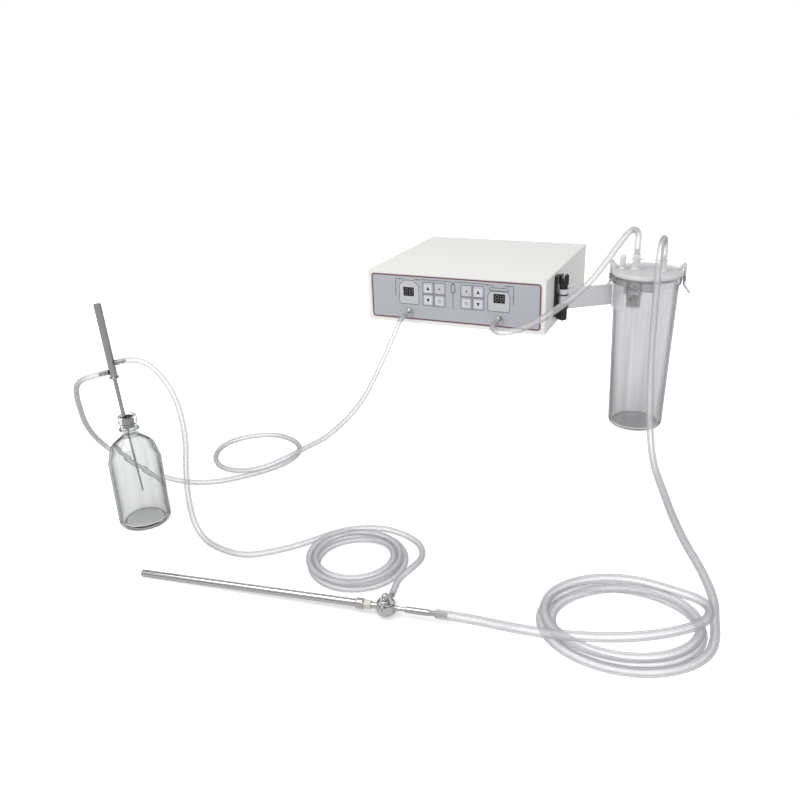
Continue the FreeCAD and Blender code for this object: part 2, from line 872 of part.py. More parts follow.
def mains_inlet():
    """Inlet socket and switch housing in one body, with three contact pins."""
    face_y = back_y + inlet_flange
    x0, x1, z0, z1 = inlet_body_limits()
    body = box(x0, x1, back_y - inlet_body_depth, face_y, z0, z1)
    flange = box(inlet_x - inlet_width / 2, inlet_x + inlet_width / 2, back_y, face_y, inlet_low, inlet_high)
    body = body.fuse(rounded(flange, 2.0, Y_AXIS))
    cavity = square_hole(inlet_x, inlet_cavity_z, inlet_cavity_width, inlet_cavity_height,
                         face_y - inlet_cavity_depth, face_y + 1)
    body = body.cut(rounded(cavity, 2.0, Y_AXIS))
    opening = square_hole(inlet_x, rocker_z, 2 * (rocker_half_width + rocker_gap),
                          2 * (rocker_half_height + rocker_cavity_extra), face_y - rocker_cavity_depth, face_y + 1)
    body = body.cut(opening)
    pivot_y = face_y - rocker_pivot_setback
    body = body.cut(rod(rocker_pin_radius + rocker_pin_gap, (x0, pivot_y, rocker_z), (x1, pivot_y, rocker_z)))
    floor_y = face_y - inlet_cavity_depth
    for dx, dz in ((-inlet_pin_spread, -2.0), (inlet_pin_spread, -2.0), (0.0, 2.0)):
        pin = square_hole(inlet_x + dx, inlet_cavity_z + dz, inlet_pin_thickness, inlet_pin_width,
                          floor_y - 1, floor_y + inlet_pin_length)
        body = body.fuse(pin)
    return body


def power_switch_rocker():
    """Rocker with two flats and side pins, resting tilted to its off side."""
    pivot_y = back_y + inlet_flange - rocker_pivot_setback
    h = rocker_half_height
    profile = [(-5.0, -3.0), (2.6, -h), (4.2, -h), (2.8, 0.0), (4.2, h), (2.6, h), (-5.0, 3.0)]
    corners = [(pivot_y + y, rocker_z + z) for y, z in profile]
    rocker = prism_x(corners, inlet_x - rocker_half_width, inlet_x + rocker_half_width)
    pin_half = rocker_half_width + rocker_gap + 1.5
    rocker = rocker.fuse(rod(rocker_pin_radius, (inlet_x - pin_half, pivot_y, rocker_z),
                             (inlet_x + pin_half, pivot_y, rocker_z)))
    rocker.rotate(V(inlet_x, pivot_y, rocker_z), X_AXIS, -rocker_tilt)
    return rocker


def cooling_fan_frame():
    """Square frame with a round duct, and a hub on three struts that carries the axle."""
    half = fan_size / 2
    y0, y1 = rear_panel_y - fan_depth, rear_panel_y
    frame = rounded(box(fan_x - half, fan_x + half, y0, y1, fan_z - half, fan_z + half), 3.0, Y_AXIS)
    frame = frame.cut(rod(fan_bore_radius, (fan_x, y0 - 1, fan_z), (fan_x, y1 + 1, fan_z)))
    hub = rod(fan_hub_radius, (fan_x, y0, fan_z), (fan_x, y0 + fan_hub_plate, fan_z))
    for i in range(3):
        strut = box(fan_x - fan_strut_width / 2, fan_x + fan_strut_width / 2, y0, y0 + fan_hub_plate,
                    fan_z, fan_z + fan_bore_radius + 1)
        strut.rotate(V(fan_x, y0, fan_z), Y_AXIS, 120 * i)
        hub = hub.fuse(strut)
    frame = frame.fuse(hub)
    frame = frame.cut(rod(fan_axle_radius + fan_axle_gap, (fan_x, y0 - 1, fan_z), (fan_x, y1, fan_z)))
    for x, z in fan_holes():
        frame = frame.cut(rod(screw_radius + screw_gap, (x, y0 - 1, z), (x, y1 + 1, z)))
    return frame


def cooling_fan_rotor():
    """Hub with pitched blades and an axle into the frame's hub."""
    y0 = rear_panel_y - fan_depth + fan_hub_plate + 0.3
    y1 = y0 + fan_rotor_depth
    rotor = rod(fan_hub_radius, (fan_x, y0, fan_z), (fan_x, y1, fan_z))
    middle = (y0 + y1) / 2
    reach = fan_bore_radius - fan_blade_gap
    envelope = rod(reach, (fan_x, y0, fan_z), (fan_x, y1, fan_z))
    for i in range(fan_blade_count):
        blade = box(fan_x - fan_blade_thickness / 2, fan_x + fan_blade_thickness / 2, middle - fan_rotor_depth,
                    middle + fan_rotor_depth, fan_z + fan_hub_radius - 1, fan_z + reach + 1)
        blade.rotate(V(fan_x, middle, fan_z), Z_AXIS, fan_blade_pitch)
        blade.rotate(V(fan_x, middle, fan_z), Y_AXIS, 360.0 * i / fan_blade_count)
        rotor = rotor.fuse(blade.common(envelope))
    axle = rod(fan_axle_radius, (fan_x, y0 - fan_hub_plate, fan_z), (fan_x, y0, fan_z))
    return rotor.fuse(axle)


def pump_axis_z():
    return pan_top + pump_mount_height + pump_bracket_thickness + pump_head_height / 2


def pump_body(x, length):
    """Head block, motor can and bracket on four soft mounts."""
    y0 = pump_head_front
    y1 = y0 + pump_head_length
    y2 = y1 + length
    z0 = pan_top + pump_mount_height
    z = pump_axis_z()
    bracket_top = z0 + pump_bracket_thickness
    half = pump_bracket_width / 2
    bracket = box(x - half, x + half, y0, y2, z0, bracket_top)
    head = rounded(box(x - pump_head_width / 2, x + pump_head_width / 2, y0, y1, bracket_top,
                       bracket_top + pump_head_height), 3.0, Y_AXIS)
    head_top = bracket_top + pump_head_height
    head = head.fuse(taper(diaphragm_radius, diaphragm_radius - diaphragm_taper, (x, (y0 + y1) / 2, head_top),
                           (x, (y0 + y1) / 2, head_top + diaphragm_height)))
    head = head.cut(rod(crank_cavity_radius, (x, y1 - crank_cavity_depth, z), (x, y1, z)))
    head = head.fuse(rod(pump_nipple_radius, (x, y0 - pump_nipple_length, port_z), (x, y0, port_z)))
    can = rod(motor_radius, (x, y1, z), (x, y2, z))
    can = can.cut(rod(motor_radius - motor_wall, (x, y1 + motor_wall, z), (x, y2 - motor_wall, z)))
    bearing_bore = pump_shaft_radius + motor_bearing_gap
    bearing_end = y2 + motor_bearing_length
    can = can.fuse(rod(motor_bearing_radius, (x, y2, z), (x, bearing_end, z)))
    can = can.cut(rod(bearing_bore, (x, y1 - 1, z), (x, bearing_end - motor_bearing_floor, z)))
    saddle = box(x - motor_radius / 2, x + motor_radius / 2, y1 + saddle_inset, y2 - saddle_inset, bracket_top,
                 z - motor_radius / 2)
    saddle = saddle.cut(rod(motor_radius, (x, y1, z), (x, y2, z)))
    body = head.fuse([can, bracket, saddle]).removeSplitter()
    mounts = []
    for sx in (-1, 1):
        for my in (y0 + pump_mount_inset, y2 - pump_mount_inset):
            mx = x + sx * (half - pump_mount_inset)
            mounts.append(rod(pump_mount_radius, (mx, my, pan_top), (mx, my, z0)))
    return group([body] + mounts)


def pump_shaft(x, length):
    """Shaft in the can's two bearings, with its rotor core and the head's eccentric."""
    y1 = pump_head_front + pump_head_length
    y2 = y1 + length
    z = pump_axis_z()
    shaft = rod(pump_shaft_radius, (x, y1 - crank_cavity_depth + shaft_front_gap, z), (x, y2 + shaft_rear_gap, z))
    middle = (y1 + y2) / 2
    core_half = min(rotor_core_length, length - 2 * motor_wall - 2 * core_clearance) / 2
    shaft = shaft.fuse(rod(rotor_core_radius, (x, middle - core_half, z), (x, middle + core_half, z)))
    crank_y = y1 - crank_cavity_depth + crank_setback
    crank = rod(crank_radius, (x, crank_y, z - crank_offset), (x, crank_y + crank_length, z - crank_offset))
    return shaft.fuse(crank)


def power_supply():
    """Board on four posts, with its transformer, heat sink, capacitors and coil."""
    x0, x1 = supply_x - supply_width / 2, supply_x + supply_width / 2
    y0, y1 = supply_y - supply_depth / 2, supply_y + supply_depth / 2
    z = pan_top + supply_post_height
    top = z + board_thickness
    solids = [box(x0, x1, y0, y1, z, top)]
    for x in (x0 + supply_post_inset, x1 - supply_post_inset):
        for y in (y0 + supply_post_inset, y1 - supply_post_inset):
            solids.append(rod(supply_post_radius, (x, y, pan_top), (x, y, z)))
    x, y, half = supply_x + transformer_x, supply_y + transformer_y, transformer_size / 2
    solids.append(rounded(box(x - half, x + half, y - half, y + half, top, top + transformer_height), 2.0, Z_AXIS))
    x = x1 - heat_sink_inset
    solids.append(box(x - heat_sink_thickness / 2, x + heat_sink_thickness / 2, supply_y - heat_sink_length / 2,
                      supply_y + heat_sink_length / 2, top, top + heat_sink_height))
    x = supply_x + capacitor_x
    for side in (-1, 1):
        y = supply_y + capacitor_y + side * capacitor_pitch / 2
        solids.append(rod(capacitor_radius, (x, y, top), (x, y, top + capacitor_height)))
    solids.append(lathe([(coil_bore_radius, top), (coil_radius, top), (coil_radius, top + coil_height),
                         (coil_bore_radius, top + coil_height)], supply_x + coil_x, supply_y + coil_y))
    return group(solids)


def solenoid_valves():
    """Two valve blocks on the pan, each with its coil."""
    solids = []
    for sign in (-1, 1):
        x = sign * valve_x
        block = box(x - valve_block_width / 2, x + valve_block_width / 2, valve_y - valve_block_depth / 2,
                    valve_y + valve_block_depth / 2, pan_top, pan_top + valve_block_height)
        z = pan_top + valve_block_height
        coil = rod(valve_coil_radius, (x, valve_y, z), (x, valve_y, z + valve_coil_height))
        solids.append(rounded(block, 2.0, Z_AXIS).fuse(coil))
    return group(solids)


def internal_tubing():
    """Straight tube from each port's tail to its pump, and one from each pump to its valve."""
    tubes = []
    tail_y = panel_back_y + port_nut_thickness + port_tail_length
    nipple_y = pump_head_front - pump_nipple_length
    start_y = tail_y - inner_tube_socket
    end_y = nipple_y + inner_tube_socket
    valve_z = pan_top + valve_block_height / 2
    valve_side = valve_x + valve_block_width / 2
    head_side = pump_x - pump_head_width / 2
    y = valve_y + valve_tube_shift
    for sign in (-1, 1):
        x = sign * port_offset
        tube = rod(inner_tube_radius, (x, start_y, port_z), (x, end_y, port_z))
        tube = tube.cut(rod(port_tail_radius + hose_socket_gap, (x, start_y, port_z), (x, tail_y, port_z)))
        tubes.append(tube.cut(rod(pump_nipple_radius + hose_socket_gap, (x, nipple_y, port_z), (x, end_y, port_z))))
        route = [(head_side, y + valve_tube_lead, valve_z + valve_tube_rise),
                 (head_side - valve_tube_run, y + valve_tube_lead, valve_z + valve_tube_rise),
                 (head_side - valve_tube_sweep, y + valve_tube_lead / 2, valve_z + valve_tube_rise / 2),
                 (valve_side + valve_tube_run, y, valve_z), (valve_side, y, valve_z)]
        tubes.append(hose("valve tube", [(sign * px, py, pz) for px, py, pz in route], valve_tube_diameter))
    return group(tubes)


def side_rail():
    """Dark rail on the console's right side."""
    rail = box(half_width, half_width + rail_depth, hinge_y - rail_width / 2, hinge_y + rail_width / 2,
               rail_low, rail_high)
    return rounded(rail, 1.5, Z_AXIS, lambda e: e.CenterOfMass.x > half_width + 1)


def hinge_bracket():
    """Plate on the rail, with a barrel below the arm and an ear between its knuckles."""
    x0 = half_width + rail_depth
    plate = box(x0, x0 + bracket_plate, hinge_y - rail_width / 2, hinge_y + rail_width / 2, bracket_low, ear_high)
    barrel = rod(barrel_radius, (hinge_x, hinge_y, barrel_low), (hinge_x, hinge_y, barrel_high))
    web = box(x0, hinge_x, hinge_y - barrel_radius + 1, hinge_y + barrel_radius - 1, bracket_low, barrel_high)
    ear = rod(ear_radius, (hinge_x, hinge_y, ear_low), (hinge_x, hinge_y, ear_high))
    ear_web = box(x0, hinge_x, hinge_y - ear_radius, hinge_y + ear_radius, ear_low, ear_high)
    bracket = plate.fuse([barrel, web, ear, ear_web]).removeSplitter()
    return bracket.cut(rod(pin_radius + pin_gap, (hinge_x, hinge_y, 0), (hinge_x, hinge_y, top_z)))


def hinge_pin():
    """Pin with a pointed lower end, which the arm turns on."""
    pin = rod(pin_radius, (hinge_x, hinge_y, pin_low + pin_point), (hinge_x, hinge_y, knob_low + pin_in_knob))
    point = taper(pin_point_radius, pin_radius, (hinge_x, hinge_y, pin_low), (hinge_x, hinge_y, pin_low + pin_point))
    return pin.fuse(point)


def clamp_knob():
    """Lobed knob on the pin's upper end, with a slot across its top."""
    knob = rod(knob_radius - 1.5, (hinge_x, hinge_y, knob_low), (hinge_x, hinge_y, knob_high))
    for i in range(knob_lobes):
        angle = 2 * math.pi * i / knob_lobes
        reach = knob_radius - knob_lobe_radius
        x, y = hinge_x + reach * math.cos(angle), hinge_y + reach * math.sin(angle)
        knob = knob.fuse(rod(knob_lobe_radius, (x, y, knob_low + knob_neck), (x, y, knob_high)))
    slot = box(hinge_x - knob_slot / 2, hinge_x + knob_slot / 2, hinge_y - knob_radius - 1,
               hinge_y + knob_radius + 1, knob_high - knob_slot_depth, knob_high + 1)
    knob = knob.cut(slot)
    pin_room = rod(pin_radius + pin_gap, (hinge_x, hinge_y, knob_low - 1),
                   (hinge_x, hinge_y, knob_low + pin_in_knob + knuckle_gap))
    return knob.cut(pin_room)


def arm_shape():
    """Flat arm from the hinge to the ring, along +X before it is turned."""
    reach = math.hypot(jar_x - hinge_x, jar_y - hinge_y)
    half = arm_thickness / 2
    bar = box(barrel_radius + arm_root_gap, reach, -half, half, arm_low, arm_high)
    for low, high in ((barrel_high + knuckle_gap, ear_low - knuckle_gap),
                      (ear_high + knuckle_gap, knob_low - knuckle_gap)):
        bar = bar.fuse(rod(knuckle_radius, (0, 0, low), (0, 0, high)))
        bar = bar.fuse(box(0, barrel_radius + 4, -half, half, low, high))
    bar = bar.cut(rod(pin_radius + pin_gap, (0, 0, 0), (0, 0, top_z)))
    relief = rod(ear_radius + arm_root_gap, (0, 0, ear_low - knuckle_gap), (0, 0, ear_high + knuckle_gap))
    return bar.cut(relief)


def canister_arm():
    arm = arm_shape()
    arm.Placement = Placement(V(hinge_x, hinge_y, 0), Rotation(Z_AXIS, arm_direction))
    ring_outer = jar_top_radius + ring_gap + ring_wall
    return arm.cut(rod(ring_outer, (jar_x, jar_y, arm_low - 1), (jar_x, jar_y, arm_high + 1)))


def clip_frame(shape, direction):
    """Place a shape drawn at the jar's +X side in another direction about the jar's axis."""
    turned = shape.copy()
    turned.Placement = Placement(V(jar_x, jar_y, 0), Rotation(Z_AXIS, direction))
    return turned


def canister_ring():
    """Open ring under the jar's collar, notched where the left clip swings in."""
    inner = jar_top_radius + ring_gap
    outer = inner + ring_wall
    ring = lathe([(inner, arm_low), (outer, arm_low), (outer, collar_low), (inner, collar_low)],
                 jar_x, jar_y, ring_start_angle, ring_end_angle - ring_start_angle)
    below = lathe([(inner - 1, arm_low - 1), (outer + 1, arm_low - 1), (outer + 1, ring_band_low),
                   (inner - 1, ring_band_low)], jar_x, jar_y, ring_start_angle - 1, ring_band_end_angle - ring_start_angle)
    ring = ring.cut(below)
    notch = box(inner - 5, outer + 5, -ring_notch_half_width, ring_notch_half_width, ring_notch_low, collar_low + 1)
    return ring.cut(clip_frame(notch, left_clip_direction))


def clip_ears():
    """Pair of ears on the jar's collar for one clip, drawn at the +X side."""
    inner = clip_width / 2 + clip_side_gap
    ears = []
    for sign in (-1, 1):
        y0, y1 = sorted((sign * inner, sign * (inner + clip_ear_thickness)))
        ear = box(collar_radius - 1, clip_ear_radius, y0, y1, clip_ear_low, clip_ear_high)
        ears.append(rounded(ear, 2.0, Y_AXIS, lambda e: e.CenterOfMass.x > collar_radius))
    pin_hole = rod(clip_pin_radius + clip_pin_gap, (clip_hinge_radius, -15, clip_hinge_z),
                   (clip_hinge_radius, 15, clip_hinge_z))
    return ears, pin_hole


def canister_jar():
    """Tapered jar with a collar and the ears of its two lid clips."""
    inner_top = jar_top_radius - jar_wall
    profile = [(0, jar_base), (jar_base_radius - jar_base_corner, jar_base),
               (jar_base_radius, jar_base + jar_base_corner), (jar_top_radius, collar_low),
               (collar_radius, collar_low), (collar_radius, collar_high), (inner_top, collar_high),
               (inner_top, collar_low), (jar_base_radius - jar_wall, jar_base + jar_base_corner),
               (jar_base_radius - jar_wall - jar_base_corner + 1, jar_base + jar_floor), (0, jar_base + jar_floor)]
    jar = lathe(profile, jar_x, jar_y)
    for direction in (left_clip_direction, right_clip_direction):
        ears, pin_hole = clip_ears()
        for ear in ears:
            jar = jar.fuse(clip_frame(ear, direction))
        jar = jar.cut(clip_frame(pin_hole, direction))
    return jar


def lid_clip(direction):
    """Lever that hooks over the lid, with side pins in the ears and a finger tab."""
    r0 = clip_hinge_radius - clip_lever_inner
    r1 = r0 + clip_lever_thickness
    hook_low = lid_top + clip_hook_gap
    profile = [(lid_radius - 7.5, hook_low), (lid_radius - 7.5, hook_low + 2.4), (lid_radius - 1.5, hook_low + 6.7),
               (lid_radius + 1, hook_low + 11), (lid_radius + 4.5, hook_low + 11.7), (r1, hook_low + 8.7),
               (r1, clip_hinge_z - 12), (r1 + 10.4, clip_hinge_z - 27), (r1 + 8.4, clip_hinge_z - 29.5),
               (r0 + 1.5, clip_hinge_z - 16.5), (r0, clip_hinge_z - 14), (r0, hook_low)]
    corners = [V(r, -clip_width / 2, z) for r, z in profile]
    lever = Part.Face(Part.makePolygon(corners + corners[:1])).extrude(V(0, clip_width, 0))
    pin_half = clip_width / 2 + clip_side_gap + clip_ear_thickness
    lever = lever.fuse(rod(clip_pin_radius, (clip_hinge_radius, -pin_half, clip_hinge_z),
                           (clip_hinge_radius, pin_half, clip_hinge_z)))
    return clip_frame(lever, direction)


def lid_seal():
    return lathe([(seal_inner_radius, collar_high), (seal_outer_radius, collar_high),
                  (seal_outer_radius, lid_low), (seal_inner_radius, lid_low)], jar_x, jar_y)


def lid_port_places():
    """x, y, boss radius and rise of the patient and the vacuum port."""
    return [(jar_x + vacuum_port_x, jar_y + vacuum_port_y, vacuum_port_radius, vacuum_port_rise),
            (jar_x + patient_port_x, jar_y + patient_port_y, patient_port_radius, patient_port_rise)]


def canister_lid():
    """Lid plate with its rim, a skirt inside the jar's mouth and holes for the ports."""
    skirt_outer = jar_top_radius - jar_wall - lid_skirt_gap
    skirt_inner = skirt_outer - lid_skirt_wall
    profile = [(0, lid_plate_low), (skirt_inner, lid_plate_low), (skirt_inner, lid_plate_low - lid_skirt_drop),
               (skirt_outer, lid_plate_low - lid_skirt_drop), (skirt_outer, lid_plate_low),
               (lid_radius - lid_rim_width, lid_plate_low), (lid_radius - lid_rim_width, lid_low),
               (lid_radius, lid_low), (lid_radius, lid_top - 1), (lid_radius - 1, lid_top), (0, lid_top)]
    lid = lathe(profile, jar_x, jar_y)
    holes = [(x, y) for x, y, _, _ in lid_port_places()] + [(jar_x + spare_port_x, jar_y)]
    for x, y in holes:
        lid = lid.cut(rod(spigot_radius + spigot_gap, (x, y, lid_plate_low - 1), (x, y, lid_top + 1)))
    return lid


def lid_ports():
    """Vacuum port, patient port and capped spare port, with the cap's strap."""
    ports = []
    for x, y, radius, rise in lid_port_places():
        top = lid_top + rise
        port = taper(radius + port_base_flare, radius, (x, y, lid_top), (x, y, lid_top + port_base_height))
        port = port.fuse(rod(radius, (x, y, lid_top), (x, y, top)))
        port = port.fuse(rod(lid_barb_radius, (x, y, top), (x, y, top + lid_barb_length)))
        port = port.fuse(rod(spigot_radius, (x, y, lid_plate_low - spigot_drop), (x, y, lid_top)))
        ports.append(port.cut(rod(lid_bore_radius, (x, y, lid_plate_low - spigot_drop - 1),
                                  (x, y, top + lid_barb_length + 1))))
    x, y = jar_x + spare_port_x, jar_y
    stub = taper(spare_port_radius + 2.5, spare_port_radius, (x, y, lid_top), (x, y, lid_top + port_base_height))
    stub = stub.fuse(rod(spare_port_radius, (x, y, lid_top), (x, y, lid_top + spare_port_rise)))
    stub = stub.fuse(rod(spigot_radius, (x, y, lid_plate_low - spigot_drop), (x, y, lid_top)))
    stub = stub.cut(rod(lid_bore_radius - 0.5, (x, y, 0), (x, y, lid_top + spare_port_rise + 1)))
    cap = rod(spare_cap_radius, (x, y, lid_top + spare_cap_low), (x, y, lid_top + spare_cap_rise))
    cap = rounded_top(cap, lid_top + spare_cap_rise, 2.5)
    cap = cap.cut(rod(spare_port_radius + spigot_gap, (x, y, lid_top), (x, y, lid_top + spare_port_rise + 0.3)))
    vy = lid_port_places()[0][1]
    z = lid_top + strap_rise
    px = lid_port_places()[1][0]
    strap = box(x + spare_cap_radius - 1, px, vy - strap_width / 2, vy + strap_width / 2, z, z + strap_thickness)
    rings = []
    for ring_x, ring_y, boss_radius, _ in lid_port_places():
        low, high = (ring_x, ring_y, z), (ring_x, ring_y, z + strap_thickness)
        rings.append(rod(boss_radius + strap_ring_width, low, high))
    strap = strap.fuse(rings)
    for ring_x, ring_y, boss_radius, _ in lid_port_places():
        strap = strap.cut(rod(boss_radius + spigot_gap, (ring_x, ring_y, z - 1), (ring_x, ring_y, z + 3)))
    return group(ports + [stub, cap.fuse(strap)])


def rounded_top(shape, z, radius):
    """Round the circular edge at one height."""
    edges = [e for e in shape.Edges if abs(e.CenterOfMass.z - z) < 1e-3 and isinstance(e.Curve, Part.Circle)]
    return shape.makeFillet(radius, edges)


def float_centre_z():
    return cage_floor_z + cage_floor + float_rest_gap + float_radius


def float_cage():
    """Slotted cage under the vacuum port, with a cup for the float and its seat above."""
    x, y = lid_port_places()[0][:2]
    inner = cage_radius - cage_wall
    cup_inner = cage_cup_radius - cage_wall
    lift = math.sqrt(float_radius ** 2 - float_seat_radius ** 2)
    seat_z = float_centre_z() + float_travel + lift + float_seat_gap
    profile = [(spigot_radius + spigot_gap, lid_plate_low - 2), (inner, lid_plate_low - 2),
               (inner, seat_z + float_seat_height), (float_seat_radius, seat_z + float_seat_height),
               (float_seat_radius, seat_z), (inner, seat_z), (inner, cage_step_z), (cup_inner, cage_step_z),
               (cup_inner, cage_floor_z + cage_floor), (0, cage_floor_z + cage_floor), (0, cage_floor_z),
               (cage_cup_radius, cage_floor_z), (cage_cup_radius, cage_step_z - 2), (cage_radius, cage_step_z - 2),
               (cage_radius, lid_plate_low), (spigot_radius + spigot_gap, lid_plate_low)]
    cage = lathe(profile, x, y)
    half = cage_slot_width / 2
    for turn in (0, 90):
        slot = box(-cage_radius - 1, cage_radius + 1, -half, half, cage_slot_low, cage_slot_high)
        slot.Placement = Placement(V(x, y, 0), Rotation(Z_AXIS, turn))
        cage = cage.cut(slot)
        low_slot = box(-cage_radius - 1, cage_radius + 1, -half / 2, half / 2, cage_floor_z + cage_floor,
                       cage_step_z - 4)
        low_slot.Placement = Placement(V(x, y, 0), Rotation(Z_AXIS, turn + 45))
        cage = cage.cut(low_slot)
    return cage


def float_ball():
    x, y = lid_port_places()[0][:2]
    return Part.makeSphere(float_radius, V(x, y, float_centre_z()))


def saline_bottle():
    """Glass bottle: straight body, sloped shoulder, neck with a bead and a thick rim."""
    r, w, z0 = bottle_radius, bottle_wall, table_z
    neck, mouth = bottle_neck_radius, bottle_mouth_radius
    corner = bottle_base_corner
    shoulder_z = bottle_height - bottle_shoulder_drop
    neck_z = bottle_height - bottle_neck_drop
    bead_low = bottle_height - bottle_bead_drop
    bead_high = bead_low + bottle_bead_height
    rim_z = bottle_height - bottle_rim_length
    bead, rim, edge = bottle_bead_radius, bottle_rim_radius, bottle_rim_edge
    bend = []
    for part in (1, 2, 3):
        angle = math.radians(shoulder_step * part)
        bend.append((shoulder_bend_radius * (math.cos(angle) - 1), shoulder_z + shoulder_bend_radius * math.sin(angle)))
    outline = [(0, 0), (r - corner, 0), (r - 0.3 * corner, 0.3 * corner), (r, corner), (r, shoulder_z)]
    outline += [(r + inset, z) for inset, z in bend]
    outline += [(neck, neck_z), (neck, bead_low), (bead, bead_low + bottle_bead_edge),
                (bead, bead_high - bottle_bead_edge), (neck, bead_high), (neck, rim_z), (rim, rim_z + edge),
                (rim, bottle_height - edge), (rim - edge, bottle_height), (mouth, bottle_height), (mouth, neck_z)]
    outline += [(r - w + inset, z) for inset, z in reversed(bend)]
    outline += [(r - w, shoulder_z), (r - w, bottle_floor + corner), (r - w - corner, bottle_floor), (0, bottle_floor)]
    return lathe([(radius, z0 + z) for radius, z in outline], bottle_x, bottle_y)


def bottle_stopper():
    """Rubber stopper inside the mouth, bored for the spike."""
    top = table_z + bottle_height - stopper_setback
    stopper = rod(bottle_mouth_radius - stopper_gap, (bottle_x, bottle_y, top - stopper_length),
                  (bottle_x, bottle_y, top))
    bore_radius = spike_tube_radius + stopper_bore_gap
    mouth = from_mouth(spike_mouth_offset)
    stopper = stopper.cut(rod(bore_radius, mouth, from_mouth(spike_flange_offset)))
    stopper = stopper.cut(Part.makeSphere(bore_radius, V(*mouth)))
    return stopper.cut(rod(bore_radius, spike_neck(), mouth))


def spike_neck():
    """Place below the bottle's mouth where the spike narrows to its needle."""
    mouth = V(*from_mouth(spike_mouth_offset))
    return mouth + (V(*from_mouth(spike_tip_offset)) - mouth).normalize() * spike_neck_depth


def spike_barbs():
    """Start and end of the right barb and of the left one."""
    return [tuple(from_mouth(offset) for offset in barb) for barb in (spike_right_barb_offsets,
                                                                      spike_left_barb_offsets)]


def spike_outer_tube():
    """Handle tube with its end plug, its lower flange and two side barbs."""
    top, low = V(*from_mouth(spike_top_offset)), V(*from_mouth(spike_flange_offset))
    down = (low - top).normalize()
    handle = rod(spike_outer_radius, top, low)
    handle = handle.fuse(rod(spike_flange_radius, low - down * spike_flange_thickness, low))
    for start, end in spike_barbs():
        handle = handle.fuse(rod(spike_barb_radius, start, end))
    bore = rod(spike_tube_radius + spike_fit_gap, top + down * spike_plug_length, low + down)
    handle = handle.cut(bore)
    for start, end in spike_barbs():
        beyond = V(*end) + (V(*end) - V(*start)).normalize()
        handle = handle.cut(rod(spike_barb_radius - spike_barb_wall, start, beyond))
    return handle.cut(bore)


def spike_inner_tube():
    """Tube from inside the handle through the stopper, ending in a fine needle."""
    flange, mouth = V(*from_mouth(spike_flange_offset)), V(*from_mouth(spike_mouth_offset))
    tip, neck = V(*from_mouth(spike_tip_offset)), spike_neck()
    up = (V(*from_mouth(spike_top_offset)) - flange).normalize()
    end = flange + up * spike_inner_length
    tube = rod(spike_needle_radius, tip, neck)
    tube = tube.fuse([rod(spike_tube_radius, neck, mouth), Part.makeSphere(spike_tube_radius, mouth),
                      rod(spike_tube_radius, mouth, flange), Part.makeSphere(spike_tube_radius, flange),
                      rod(spike_tube_radius, flange, end)])
    bore = rod(spike_bore_radius, tip, mouth)
    bore = bore.fuse([Part.makeSphere(spike_bore_radius, mouth), rod(spike_bore_radius, mouth, flange),
                      Part.makeSphere(spike_bore_radius, flange), rod(spike_bore_radius, flange, end)])
    return tube.cut(bore)


def handpiece_place(shape):
    """Move a shape from the handpiece's own axes to where it lies."""
    placed = shape.copy()
    turn = Rotation(Z_AXIS, handpiece_turn).multiply(Rotation(Y_AXIS, -handpiece_tilt))
    placed.Placement = Placement(V(valve_x0, valve_y0, valve_z0), turn)
    return placed


def cannula_tube():
    """Long thin-walled tube with side holes near its tip."""
    tube = rod(cannula_radius, (cannula_front, 0, 0), (cannula_shoulder, 0, 0))
    tube = tube.fuse(rod(cannula_end_radius, (cannula_shoulder, 0, 0), (cannula_rear, 0, 0)))
    tube = tube.cut(rod(cannula_radius - cannula_wall, (cannula_front - 1, 0, 0), (cannula_rear + 1, 0, 0)))
    for i in range(2):
        x = cannula_front + cannula_hole_setback + cannula_hole_pitch * i
        tube = tube.cut(rod(cannula_hole_radius, (x, -cannula_radius - 1, 0), (x, cannula_radius + 1, 0)))
    return handpiece_place(tube)


def cannula_lock_nut():
    """Grooved nut that turns on the cannula's rear end."""
    front, rear = lock_nut_front, lock_nut_front + lock_nut_length
    nut = rod(lock_nut_radius, (front, 0, 0), (rear, 0, 0))
    nut = nut.cut(rod(cannula_end_radius + lock_nut_gap, (front - 1, 0, 0), (rear + 1, 0, 0)))
    for i in range(lock_nut_flutes):
        angle = 2 * math.pi * i / lock_nut_flutes
        y, z = lock_nut_radius * math.cos(angle), lock_nut_radius * math.sin(angle)
        nut = nut.cut(rod(lock_nut_flute_radius, (front + lock_nut_flute_inset, y, z),
                          (rear - lock_nut_flute_inset, y, z)))
    return handpiece_place(nut)


def sleeve_front():
    return lock_nut_front + lock_nut_length + sleeve_gap


def seal_sleeve():
    """Six-sided pale sleeve between the nut and the valve."""
    front = sleeve_front()
    sleeve = hexagon(sleeve_across, (front, 0, 0), (front + sleeve_length, 0, 0))
    sleeve = sleeve.cut(rod(stem_radius + lock_nut_gap, (front - 1, 0, 0), (front + sleeve_length + 1, 0, 0)))
    return handpiece_place(sleeve)


